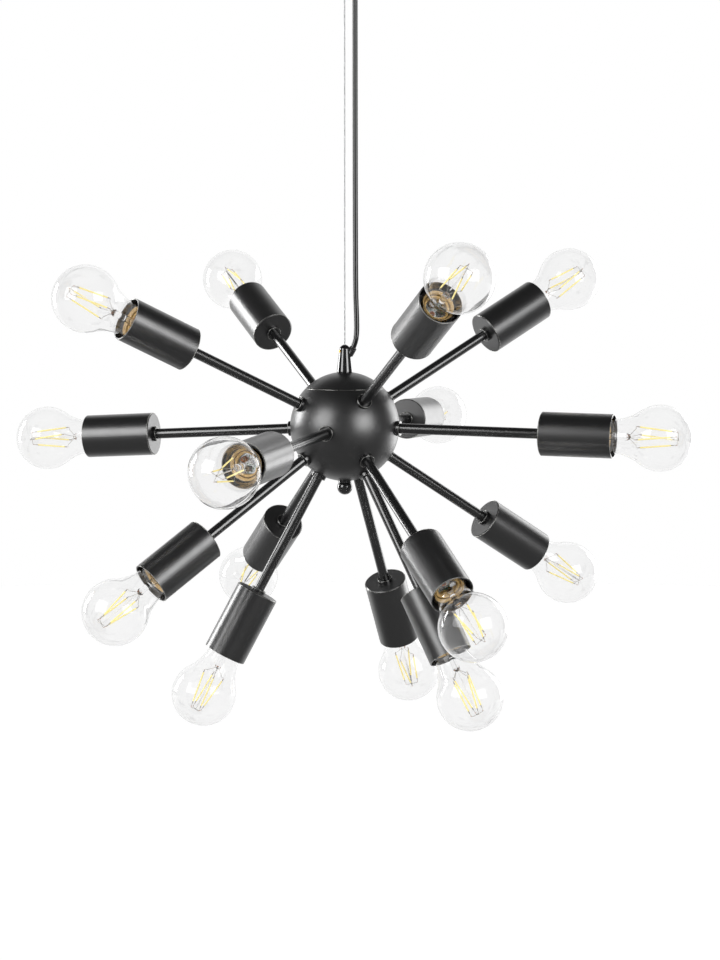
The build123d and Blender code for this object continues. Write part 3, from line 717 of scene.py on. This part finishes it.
def joint_mesh():
    """Copper-coloured weld beads on the leads, at the pinch and at both ends of every filament."""
    shape = bmesh.new()
    for foot, head in filament_ends():
        out = Vector((foot.x, foot.y, 0)).normalized()
        above = head + (head - foot).normalized() * 3 * MM
        for place in (foot, above, out * 1.8 * MM + Vector((0, 0, bulb_sizes().stem_top - 2 * MM))):
            at_place = Matrix.Translation(place)
            bmesh.ops.create_icosphere(shape, subdivisions=2, radius=0.4 * MM, matrix=at_place)
    return mesh_from(shape, "bulb_joints")


def board_top():
    """Upper face of the driver board, measured from the bulb's contact."""
    return bulb_sizes().cap_top - 7.8 * MM


def board_mesh():
    """The small round driver board, with a bite out of one side for the leads."""
    top = board_top()
    foot = top - 1.2 * MM
    edge = 9.6 * MM

    def ripple(angle, radius, height):
        return -1.8 * MM * max(0.0, math.cos(angle)) ** 12

    return lathe("bulb_board", [(0, top), (edge, top), (edge, foot), (0, foot)], 48, ripple)


def capacitor_mesh():
    """The capacitor's can: a rolled waist near its foot and a rounded top."""
    can = turned("bulb_capacitor", [
        (0, 0), (2.9, 0), (2.9, 0.7), (2.6, 1.1), (2.9, 1.5), (2.9, 4.9), (2.6, 5.3), (2.0, 5.3), (1.9, 5.15),
        (0, 5.15),
    ], 32)
    can.transform(Matrix.Translation((4.6 * MM, 2.2 * MM, board_top())))
    return can


def coil_mesh():
    """The wound coil beside the capacitor, turn by turn."""
    low = board_top() + 0.5 * MM
    turns = 9
    path = []
    for step in range(turns * 16 + 1):
        turn = 2 * math.pi * step / 16
        across = Vector((math.cos(turn), math.sin(turn), 0)) * 2.1 * MM
        path.append(Vector((-4.2 * MM, 3.2 * MM, low + 0.45 * MM * step / 16)) + across)
    return tube_along("bulb_coil", [path], 0.25 * MM, sides=6)


def chip_mesh():
    """The moulded control chip."""
    centre = (-1.2 * MM, -4.6 * MM, board_top() + 0.75 * MM)
    return block("bulb_chip", (5 * MM, 4 * MM, 1.5 * MM), centre, 0.2 * MM)


class CHANDELIER_OT_bulbs(bpy.types.Operator):
    """Fifteen clear filament bulbs: glass, cap, cement, contact, stem, leads, filaments and board"""

    bl_idname = "chandelier.bulbs"
    bl_label = "Bulbs"

    def execute(self, context):
        look = finishes()
        glass = blown_glass("Blown soda-lime glass", look.glass)
        stem_glass = blown_glass("Drawn lead glass", look.glass)
        nickel = plated_metal("Nickel-plated brass cap", look.nickel, 0.2, 3)
        lining = plated_metal("Brass, inside the cap", look.brass, 0.3, 2)
        contact = plated_metal("Soldered contact", look.zinc, 0.35, 1)
        copper = plated_metal("Enamelled copper", look.copper, 0.3, 1)
        tab = plated_metal("Plated steel tabs", look.lead_wire, 0.3, 1)
        can = plated_metal("Drawn aluminium can", look.aluminium, 0.25, 2)
        bead = moulded_plastic("Black glass bead", look.phenolic_black, 0.08)
        chip = moulded_plastic("Epoxy chip body", look.phenolic_black, 0.4)
        phosphor = phosphor_silicone("Phosphor silicone", look.phosphor)
        cement = basing_cement("Basing cement", look.cement)
        board = circuit_board("Driver board", look.board_green, look.aluminium)
        parts = (
            ("glass", glass_mesh(), glass, "bulb_glass"),
            ("cap", cap_mesh(), nickel, "nickel_plated_brass"),
            ("cement", cement_mesh(), cement, None),
            ("rim_cement", rim_cement_mesh(), cement, None),
            ("skirt", skirt_mesh(), nickel, "nickel_plated_brass"),
            ("insulator", contact_mesh(), bead, "black_phenolic"),
            ("contact", tip_mesh(), contact, "nickel_plated_brass"),
            ("stem", stem_mesh(), stem_glass, "bulb_glass"),
            ("filaments", filament_mesh(), phosphor, None),
            ("tabs", tab_mesh(), tab, None),
            ("leads", lead_mesh(), tab, None),
            ("joints", joint_mesh(), copper, None),
            ("board", board_mesh(), board, None),
            ("capacitor", capacitor_mesh(), can, None),
            ("coil", coil_mesh(), copper, None),
            ("chip", chip_mesh(), chip, None),
        )
        for lamp, where in lamps():
            body = f"bulb_{lamp}"
            where = where @ Matrix.Rotation(math.radians(BULB_TURNS.get(lamp, 0)), 4, "Z")
            for part, mesh, material, finish in parts:
                piece = place_piece(f"bulb_{part}_{lamp}", mesh, material, body, where, (body,), finish)
                if part == "cap":
                    brass_inside(piece.data, where, lining)
                if material in (glass, stem_glass):
                    # Clear glass lets the lamps through to the filaments.
                    piece.visible_shadow = False
                    piece.visible_diffuse = False
        return {"FINISHED"}


def brass_inside(mesh, where, lining):
    """Leave the cap's inner faces unplated."""
    mesh.materials.append(lining)
    along = where.to_3x3().col[2]
    for face in mesh.polygons:
        offset = face.center - where.translation
        if (offset - along * offset.dot(along)).dot(face.normal) < -0.5 * MM:
            face.material_index = 1


# Cord and wire


def route_curve(name, points, bevel=0.0):
    """A smooth open curve with the route's points as its control points."""
    curve = bpy.data.curves.new(name, "CURVE")
    curve.dimensions = "3D"
    curve.resolution_u = 24
    spline = curve.splines.new("NURBS")
    spline.points.add(len(points) - 1)
    for point, place in zip(spline.points, points):
        point.co = (*place, 1.0)
    spline.order_u = 3
    spline.use_endpoint_u = True
    curve.bevel_depth = bevel
    curve.bevel_resolution = 8
    curve.use_fill_caps = True
    return curve


class CHANDELIER_OT_power_cord(bpy.types.Operator):
    """The power cord, from the grip's side bush up beside the wire into the canopy"""

    bl_idname = "chandelier.power_cord"
    bl_label = "Power cord"

    def execute(self, context):
        size = line_sizes()
        points = [HUB_CENTRE + Vector((right, 0, up)) * MM for right, up in CORD_ROUTE]
        curve = route_curve("power_cord_sheath", points, size.cord_diameter / 2)
        sheath = moulded_plastic("Extruded PVC sheath", finishes().cord_black, 0.08, 0.2)
        cord = place_piece(
            "power_cord_sheath", curve, sheath, "suspension", None, ("power_cord",), "cord_pvc"
        )
        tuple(points[0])
        return {"FINISHED"}


def strand_paths(line, radius, lay, strands):
    """Helices round a straight line, one for each outer strand."""
    start, end = line
    along = (end - start).normalized()
    across = along.orthogonal().normalized()
    other = along.cross(across)
    length = (end - start).length
    count = int(length / lay * 12)
    for strand in range(strands):
        path = []
        for step in range(count + 1):
            turn = 2 * math.pi * (step / 12 + strand / strands)
            offset = radius * (math.cos(turn) * across + math.sin(turn) * other)
            path.append(start + along * length * step / count + offset)
        yield path


class CHANDELIER_OT_suspension_wire(bpy.types.Operator):
    """The twisted steel suspension wire and the crimp ball at its upper end"""

    bl_idname = "chandelier.suspension_wire"
    bl_label = "Suspension wire"

    def execute(self, context):
        size = line_sizes()
        low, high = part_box("suspension_wire")
        foot = Vector((0, 0, low.z))
        ball = Vector((0, 0, high.z - size.crimp_radius))
        strand = size.wire_diameter / 6
        paths = list(strand_paths((foot, ball), 2 * strand, size.wire_lay, 6)) + [[foot, ball]]
        mesh = tube_along("suspension_wire_strands", paths, strand, sides=8)
        steel = plated_metal("Galvanised wire strand", finishes().wire_steel, 0.6, 1)
        wire = place_piece(
            "suspension_wire_strands", mesh, steel, "suspension", None, ("suspension_wire",), "wire_steel"
        )
        outline = arc((0, ball.z), size.crimp_radius, -math.pi / 2, math.pi / 2, 16)
        outline[0] = (0, outline[0][1])
        outline[-1] = (0, outline[-1][1])
        crimp = plated_metal("Zinc-plated crimp ball", finishes().zinc, 0.25, 1)
        ball_mesh = lathe("wire_crimp_ball", outline, 32)
        knob = place_piece("wire_crimp_ball", ball_mesh, crimp, "suspension", None, (), "zinc_plated_steel")
        return {"FINISHED"}


# Ball, arms, cups, grip and ceiling fitting


class CHANDELIER_OT_hub(bpy.types.Operator):
    """Satin powder coat on the ball, its cap and the finial"""

    bl_idname = "chandelier.hub"
    bl_label = "Hub"

    def execute(self, context):
        look = finishes()
        clothe(powder_coat("Satin powder coat, hub", look.powder_black, 0.37), "hub_shell", "hub_cap")
        clothe(gloss_enamel("Enamel, finial", look.enamel_black, 0.15), "hub_finial")
        # The cap's rim sits in the groove between the two halves; a bright steel ring there paints its
        # highlight line.
        highlight_steel = plated_metal("Painted edge highlight, cap", look.edge_highlight_steel, 0.3, 4)
        seam = edge_mesh("cap_edge_highlight", 36.32, 35.3, 0.35)
        place_piece("cap_edge_highlight", seam, highlight_steel, "fixture", Matrix.Translation(HUB_CENTRE))
        clothe(plated_metal("Zinc plate, nipple and nuts", look.zinc, 0.3, 2), "hub_nipple", "arm_nuts")
        return {"FINISHED"}


class CHANDELIER_OT_arms(bpy.types.Operator):
    """Semi-gloss enamel on the arm tubes and their collars"""

    bl_idname = "chandelier.arms"
    bl_label = "Arms"

    def execute(self, context):
        look = finishes()
        enamel = gloss_enamel("Semi-gloss enamel, arms", look.enamel_black, 0.24)
        clothe(enamel, *[name for name in frame["nodes"] if name.startswith("arm_") and name != "arm_nuts"])
        # Fine bright steel rings paint the highlight lines along the collars' and cups' edges.
        highlight_steel = plated_metal("Painted edge highlights, collars and cups", look.edge_highlight_steel, 0.3, 4)
        for lamp, where in lamps():
            ball = -(where.translation - HUB_CENTRE).length / MM
            back = -CONTACT_IN_CUP
            edges = {
                "hub_collar_highlight": (6.75, ball + HUB_COLLAR_EDGE),
                "cup_collar_highlight": (6.75, back + CUP_COLLAR_EDGE),
                "cup_back_highlight": (19.85, back + CUP_BACK_EDGE),
                "cup_mouth_highlight": (19.75, back + CUP_MOUTH_EDGE),
            }
            for part, (radius, height) in edges.items():
                mesh = edge_mesh(part, radius, height, 0.28)
                place_piece(f"{part}_{lamp}", mesh, highlight_steel, "fixture", where)
        return {"FINISHED"}


def shell_mesh():
    """A lampholder's screw shell with its rolled thread, measured from the bulb's contact."""
    size = bulb_sizes()
    low = -3 * MM
    high = 23 * MM
    outer = size.cap_radius + 0.75 * MM
    wall = 0.3 * MM
    heights = spaced(low, high, 52)
    outline = [(outer, height) for height in heights] + [(outer - wall, height) for height in heights[::-1]]
    ripple = thread_wave(size.thread_pitch, 0.35 * MM, low + MM, high - MM)
    return lathe("screw_shell", outline + outline[:1], 72, ripple)


def button_mesh():
    """The sprung brass button under a bulb's contact."""
    return turned("centre_contact", [(0, -3), (2.5, -3), (2.5, -1.6), (2.1, -1), (1.2, -0.6), (0, -0.5)], 32)


class CHANDELIER_OT_cups(bpy.types.Operator):
    """Satin powder coat on the lamp cups, phenolic lampholders and their threaded screw shells"""

    bl_idname = "chandelier.cups"
    bl_label = "Lamp cups"

    def execute(self, context):
        look = finishes()
        coat = powder_coat("Satin powder coat, cups", look.powder_black, 0.33)
        clothe(coat, *[name for name in frame["nodes"] if name.startswith("lamp_cup_")])
        clothe(moulded_plastic("Moulded phenolic", look.phenolic_black, 0.3), "lampholders")
        brass = plated_metal("Rolled brass screw shell", look.brass, 0.25, 2)
        parts = (("screw_shell", shell_mesh()), ("centre_contact", button_mesh()))
        for lamp, where in lamps():
            for part, mesh in parts:
                place_piece(
                    f"{part}_{lamp}", mesh, brass, "fixture", where, ("screw_shells",), "nickel_plated_brass"
                )
        return {"FINISHED"}


def edge_mesh(name, radius, height, thickness):
    """A fine bright ring along a painted edge, in millimetres, that paints the edge's highlight line."""
    outline = arc((radius, height), thickness, -math.pi, math.pi, 10)
    return turned(name, outline[:-1] + outline[:1], 96)


def washer_mesh():
    """The washer between the ball and the grip, its outer edges rounded."""
    return turned("grip_washer", [
        (5.05, 50.4), (7.1, 50.4), (7.3, 50.6), (7.3, 51), (7.1, 51.2), (5.05, 51.2), (5.05, 50.4),
    ])


def bush_mesh():
    """The grip's side bush: a tapered sleeve with a rolled lip that the cord comes out of."""
    return turned("side_bush", [
        (2.65, -8), (3.05, -8), (3.45, -0.6), (3.6, -0.3), (3.6, 0.1), (3.4, 0.4), (3.1, 0.5), (2.8, 0.35),
        (2.65, 0), (2.65, -8),
    ])


def set_screw_mesh():
    """The set screw's turned end, chamfered and with its socket."""
    return turned("set_screw", [
        (0, -5.18), (1.25, -5.18), (1.25, -0.3), (1.0, 0), (0.6, 0), (0.6, -0.7), (0, -0.7),
    ], 24)


class CHANDELIER_OT_grip(bpy.types.Operator):
    """Glossy moulded grip, with its lipped bush, washer and brass set screw"""

    bl_idname = "chandelier.grip"
    bl_label = "Cord grip"

    def execute(self, context):
        look = finishes()
        nylon = moulded_plastic("Glossy moulded nylon", look.nylon_black, 0.1, 1.0)
        clothe(nylon, "cord_grip")
        tilt = math.radians(26)
        mouth = HUB_CENTRE + Vector((7.9, 0, 73.0)) * MM
        bush_at = pointing(mouth, (math.sin(tilt), 0, math.cos(tilt)), (0, 1, 0))
        turn = math.radians(30)
        out = Vector((-math.cos(turn), -math.sin(turn), 0))
        flank = HUB_CENTRE + (out * 5.886 + Vector((0, 0, 70.0))) * MM
        screw_at = pointing(flank, out, (0, 0, 1))
        at_ball = Matrix.Translation(HUB_CENTRE)
        brass = plated_metal("Turned brass set screw", look.brass, 0.2, 1)
        fittings = (
            ("side_bush", bush_mesh(), nylon, bush_at, "grip_gloss_black"),
            ("grip_washer", washer_mesh(), nylon, at_ball, "grip_gloss_black"),
            ("set_screw", set_screw_mesh(), brass, screw_at, "nickel_plated_brass"),
        )
        for name, mesh, material, where, finish in fittings:
            place_piece(name, mesh, material, "suspension", where, ("grip_fittings",), finish)
        return {"FINISHED"}


def wire_grip_mesh():
    """The brass wire grip under the canopy, bored for the wire's crimp ball and for its stud."""
    return turned("wire_grip", [
        (3.0, -28), (4.2, -28), (4.2, -38.4), (3.4, -40), (2.384, -40), (1.7, -34.8), (2.3, -33),
        (2.3, -30.3), (3.0, -30.3), (3.0, -28),
    ], 48)


def grip_stud_mesh():
    """The headed stud that hangs the wire grip in the canopy, its thread rolled above the nut."""
    wave = thread_wave(0.8 * MM, 0.3 * MM, -28 * MM, -18.6 * MM)
    thread = [(2.5, height) for height in spaced(-28, -19.4, 60)]

    def ripple(angle, radius, height):
        return wave(angle, radius, height) if height > -28 * MM and radius > 2.4 * MM else 0

    head = [(0, -30.2), (2.95, -30.2), (2.95, -28)]
    return turned("grip_stud", head + thread + [(2.1, -19), (0, -19)], 32, ripple)


def grip_nut_mesh():
    """The hexagon nut on the stud, 8 mm across its flats, its corners eased."""
    def ripple(angle, radius, height):
        return radius * (facet(angle, 6) - 1) if radius > 4.3 * MM else 0

    return turned("grip_nut", [
        (2.55, -26.8), (4.0, -26.8), (4.62, -26.5), (4.62, -23.1), (4.0, -22.8), (2.55, -22.8), (2.55, -26.8),
    ], 48, ripple)


def cord_bush_mesh():
    """The snap-in bush that the cord passes through into the canopy."""
    return turned("cord_bush", [
        (3.344, -35.8), (4.4, -35.8), (4.7, -35.5), (4.7, -28), (4.18, -28), (4.18, -26.75), (4.53, -26.75),
        (4.18, -25.95), (3.73, -25.95), (3.73, -28), (2.9, -33), (3.344, -35.8),
    ], 48)


def pole_mesh(width, height, depth, bore):
    """One pole of the terminal block: a square-cornered polyamide body round its wire hole."""
    def ripple(angle, radius, along):
        if radius <= bore * 1.5 * MM:
            return 0
        sideways = width / 2 / max(abs(math.cos(angle)), 0.001)
        upwards = height / 2 / max(abs(math.sin(angle)), 0.001)
        return (min(sideways, upwards) - height / 2) * MM

    half = depth / 2
    outer = height / 2
    return turned("terminal_pole", [
        (bore, -half), (outer - 0.3, -half), (outer, -half + 0.3), (outer, half - 0.3), (outer - 0.3, half),
        (bore, half), (bore, -half),
    ], 96, ripple)


def liner_mesh(bore, depth):
    """The brass tube that lines a pole's wire hole."""
    half = depth / 2
    return turned("terminal_liner", [
        (bore, -half), (bore + 0.6, -half), (bore + 0.6, half), (bore, half), (bore, -half),
    ], 32)


def side_screw_mesh():
    """A canopy side screw: round head with a cross recess, measured out from the canopy's rim."""
    def ripple(angle, radius, height):
        return 0.3 * radius * math.cos(4 * angle) if height > MM and radius < 1.4 * MM else 0

    return turned("side_screw", [
        (0, -9), (1.6, -9), (1.95, -8.6), (1.95, 0.15), (3.5, 0.15), (3.5, 0.9), (3.1, 1.6), (2.3, 2.05),
        (1.3, 2.2), (1.1, 1.2), (0, 1.2),
    ], 48, ripple)


class CHANDELIER_OT_ceiling(bpy.types.Operator):
    """Powder-coated canopy, zinc-plated strap, wire grip, cord bush, terminal block and side screws"""

    bl_idname = "chandelier.ceiling"
    bl_label = "Ceiling fitting"

    def execute(self, context):
        look = finishes()
        clothe(powder_coat("Satin powder coat, canopy", look.powder_black, 0.36), "ceiling_canopy")
        clothe(plated_metal("Zinc plate, strap", look.zinc, 0.35, 3), "ceiling_strap")
        nickel = plated_metal("Nickel plate, wire grip", look.nickel, 0.2, 2)
        zinc = plated_metal("Zinc plate, stud and nut", look.zinc, 0.3, 2)
        brass = plated_metal("Brass terminals", look.brass, 0.25, 2)
        nylon = moulded_plastic("Moulded nylon, cord bush", look.nylon_black, 0.2)
        ivory = moulded_plastic("Polyamide terminal block", look.ivory, 0.4)
        paint = powder_coat("Satin powder coat, screw heads", look.powder_black, 0.36)
        at_cord = Matrix.Translation((CORD_ROUTE[-1][0] * MM, 0, 0))
        fittings = [
            ("wire_grip", wire_grip_mesh(), nickel, None),
            ("grip_stud", grip_stud_mesh(), zinc, None),
            ("grip_nut", grip_nut_mesh(), zinc, None),
            ("cord_bush", cord_bush_mesh(), nylon, at_cord),
        ]
        # The terminal block has three poles in a width of 22 mm.
        width, height, depth = 22 / 3, 10, 13
        for number in (1, 2, 3):
            at_pole = pointing(((number - 2) * width * MM, 0, -6.6 * MM), (0, 1, 0), (1, 0, 0))
            pole = pole_mesh(width, height, depth, 2.2)
            fittings.append((f"terminal_pole_{number}", pole, ivory, at_pole))
            fittings.append((f"terminal_liner_{number}", liner_mesh(1.6, depth), brass, at_pole))
        canopy_radius = 50 * MM
        for name, side in (("right", 1), ("left", -1)):
            at_rim = pointing((side * canopy_radius, 0, -9 * MM), (side, 0, 0), (0, 1, 0))
            fittings.append((f"side_screw_{name}", side_screw_mesh(), paint, at_rim))
        for name, mesh, material, where in fittings:
            place_piece(name, mesh, material, "ceiling", where, ("canopy_fittings",))
        return {"FINISHED"}


# Studio


def area_lamp(name, direction, width, height, radiance):
    """A soft rectangular lamp facing the ball, its power worked out from how bright it should look."""
    light = bpy.data.lights.new(name, "AREA")
    light.shape = "RECTANGLE"
    light.size = width
    light.size_y = height
    light.energy = radiance * math.pi * width * height
    lamp = bpy.data.objects.new(name, light)
    bpy.context.scene.collection.objects.link(lamp)
    away = Vector(direction).normalized()
    turn = away.to_track_quat("Z", "Y").to_matrix().to_4x4()
    lamp.matrix_world = Matrix.Translation(HUB_CENTRE + away * LAMP_DISTANCE) @ turn
    # Hidden to the eye, straight and through glass, so that it never bleaches a globe in front of it.
    lamp.visible_camera = False
    lamp.visible_transmission = False
    return lamp


def eye_rays(tree):
    """Light Path's outputs, and a value that is 1 where the eye looks straight or through glass."""
    rays = add_node(tree, "ShaderNodeLightPath").outputs
    looks = {0: rays["Is Camera Ray"], 1: rays["Is Transmission Ray"]}
    seen = add_node(tree, "ShaderNodeMath", looks, operation="MAXIMUM")
    return rays, seen.outputs["Value"]


def floor_material(background):
    """Seamless white paper: white to the eye with the object's soft shadow kept, and as a mirror sees it."""
    material, tree, output, place = new_material("Seamless paper")
    rays, seen = eye_rays(tree)
    fibre = mottle(tree, place, 400, 0.77, 0.79)
    paper = add_node(tree, "ShaderNodeBsdfDiffuse", {"Color": fibre, "Roughness": 0.5}).outputs["BSDF"]
    level = add_node(tree, "ShaderNodeMath", {0: seen, 1: PAPER_GLOW}, operation="MULTIPLY").outputs["Value"]
    glow = add_node(tree, "ShaderNodeEmission", {"Color": background, "Strength": level}).outputs["Emission"]
    lit = add_node(tree, "ShaderNodeAddShader", {0: paper, 1: glow}).outputs["Shader"]
    # In gloss and glass the sheet is dim in front, and turns white where it runs away behind the object.
    depth = add_node(tree, "ShaderNodeSeparateXYZ", {"Vector": place}).outputs["Y"]
    fade = add_node(
        tree,
        "ShaderNodeMapRange",
        {"Value": depth, "From Min": 0.5, "From Max": 3.0, "To Min": 0.17, "To Max": 1.0},
    ).outputs["Result"]
    sheet = add_node(tree, "ShaderNodeEmission", {"Color": background, "Strength": fade}).outputs["Emission"]
    # A ray that has come through glass counts as glossy too, and sees the lit paper.
    mirrored = add_node(
        tree,
        "ShaderNodeMath",
        {0: rays["Is Glossy Ray"], 1: rays["Is Transmission Ray"]},
        operation="SUBTRACT",
        use_clamp=True,
    ).outputs["Value"]
    both = add_node(tree, "ShaderNodeMixShader", {0: mirrored, 1: lit, 2: sheet})
    tree.links.new(both.outputs["Shader"], output.inputs["Surface"])
    return material


def studio_world(background, surround):
    """White to the eye, straight or through glass; a white wall behind and a dim room in reflections."""
    world = bpy.data.worlds.new("Studio")
    world.use_nodes = True
    tree = world.node_tree
    tree.nodes.clear()
    output = add_node(tree, "ShaderNodeOutputWorld")
    rays, seen = eye_rays(tree)
    direction = add_node(tree, "ShaderNodeTexCoord").outputs["Generated"]
    axes = add_node(tree, "ShaderNodeSeparateXYZ", {"Vector": direction}).outputs
    overhead = add_node(
        tree,
        "ShaderNodeMapRange",
        {"Value": axes["Z"], "From Min": 0.0, "From Max": 0.7, "To Min": 1.0, "To Max": 0.35},
    ).outputs["Result"]
    wall = add_node(
        tree,
        "ShaderNodeMapRange",
        {"Value": axes["Y"], "From Min": 0.5, "From Max": 0.9},
        interpolation_type="SMOOTHSTEP",
    ).outputs["Result"]
    room, white, bounced = [
        add_node(tree, "ShaderNodeBackground", {"Color": colour, "Strength": strength}).outputs["Background"]
        for colour, strength in ((surround, overhead), (background, 1.0), (background, 0.75))
    ]
    mirrored = add_node(tree, "ShaderNodeMixShader", {0: wall, 1: room, 2: white}).outputs["Shader"]
    lit = add_node(
        tree, "ShaderNodeMixShader", {0: rays["Is Diffuse Ray"], 1: mirrored, 2: bounced}
    ).outputs["Shader"]
    mix = add_node(tree, "ShaderNodeMixShader", {0: seen, 1: lit, 2: white})
    tree.links.new(mix.outputs["Shader"], output.inputs["Surface"])
    bpy.context.scene.world = world


class CHANDELIER_OT_studio(bpy.types.Operator):
    """White paper floor, two front softboxes, a strip and a panel behind, and the camera"""

    bl_idname = "chandelier.studio"
    bl_label = "Studio"

    def execute(self, context):
        look = studio_values()
        shape = bmesh.new()
        under = Matrix.Translation((0, 0, FLOOR_HEIGHT))
        bmesh.ops.create_circle(shape, cap_ends=True, segments=96, radius=FLOOR_RADIUS, matrix=under)
        mesh = bpy.data.meshes.new("paper_floor")
        shape.to_mesh(mesh)
        shape.free()
        mesh.materials.append(floor_material(look.background))
        floor = bpy.data.objects.new("paper_floor", mesh)
        context.scene.collection.objects.link(floor)
        floor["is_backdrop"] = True
        studio_world(look.background, look.surround)

        pitch = look.camera_pitch
        right = Vector((1, 0, 0))
        up = Vector((0, math.sin(pitch), math.cos(pitch)))
        ahead = Vector((0, math.cos(pitch), -math.sin(pitch)))

        def towards(sideways, upwards, nearer):
            return right * sideways + up * upwards - ahead * nearer

        # Each direction mirrors where the photograph shows that lamp on the ball.
        area_lamp("softbox_left", towards(-0.72, 0.24, 0.65), 1.1, 1.0, look.softbox_radiance)
        area_lamp("softbox_right", towards(0.65, 0.14, 0.75), 1.05, 0.9, look.softbox_radiance)
        area_lamp("strip_left", towards(-0.90, 0.17, -0.42), 0.45, 1.0, look.strip_radiance)
        area_lamp("panel_right", towards(0.70, 0.12, -0.71), 0.95, 1.3, look.panel_radiance)

        camera = bpy.data.cameras.new("camera")
        camera.lens = look.focal_length
        camera.sensor_width = 36
        camera.clip_end = 100
        eye = bpy.data.objects.new("camera", camera)
        context.scene.collection.objects.link(eye)
        place = HUB_CENTRE + right * CAMERA_RIGHT - up * CAMERA_DOWN - ahead * look.camera_distance
        eye.matrix_world = Matrix.Translation(place) @ Matrix((right, up, -ahead)).transposed().to_4x4()
        context.scene.camera = eye
        context.scene.view_settings.view_transform = "Standard"
        return {"FINISHED"}


class CHANDELIER_PT_panel(bpy.types.Panel):
    """Sizes, colours and steps of the chandelier"""

    bl_idname = "CHANDELIER_PT_panel"
    bl_label = "Chandelier"
    bl_space_type = "VIEW_3D"
    bl_region_type = "UI"
    bl_category = "Chandelier"

    def draw(self, context):
        for step in STEPS:
            self.layout.operator(step.bl_idname)
        for group in GROUPS:
            column = self.layout.column(align=True)
            values = getattr(context.scene, group)
            for name in values.bl_rna.properties.keys():
                if name not in ("rna_type", "name"):
                    column.prop(values, name)


GROUPS = {
    "chandelier_finishes": ChandelierFinishes,
    "chandelier_bulb": ChandelierBulb,
    "chandelier_lines": ChandelierLines,
    "chandelier_studio": ChandelierStudio,
}
STEPS = (
    CHANDELIER_OT_hub,
    CHANDELIER_OT_arms,
    CHANDELIER_OT_cups,
    CHANDELIER_OT_grip,
    CHANDELIER_OT_ceiling,
    CHANDELIER_OT_power_cord,
    CHANDELIER_OT_suspension_wire,
    CHANDELIER_OT_bulbs,
    CHANDELIER_OT_studio,
)


def register():
    for group in GROUPS.values():
        bpy.utils.register_class(group)
    for step in STEPS:
        bpy.utils.register_class(step)
    bpy.utils.register_class(CHANDELIER_PT_panel)
    for name, group in GROUPS.items():
        setattr(bpy.types.Scene, name, bpy.props.PointerProperty(type=group))


def unregister():
    for name in GROUPS:
        delattr(bpy.types.Scene, name)
    bpy.utils.unregister_class(CHANDELIER_PT_panel)
    for step in reversed(STEPS):
        bpy.utils.unregister_class(step)
    for group in reversed(GROUPS.values()):
        bpy.utils.unregister_class(group)


def main():
    """Run every step in order."""
    register()
    for step in STEPS:
        group, name = step.bl_idname.split(".")
        getattr(getattr(bpy.ops, group), name)()
    boxes = {"cad": CAD_BOX, "visual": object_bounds()}
    {name: [list(corner) for corner in box] for name, box in boxes.items()}


if __name__ == "__main__":
    main()
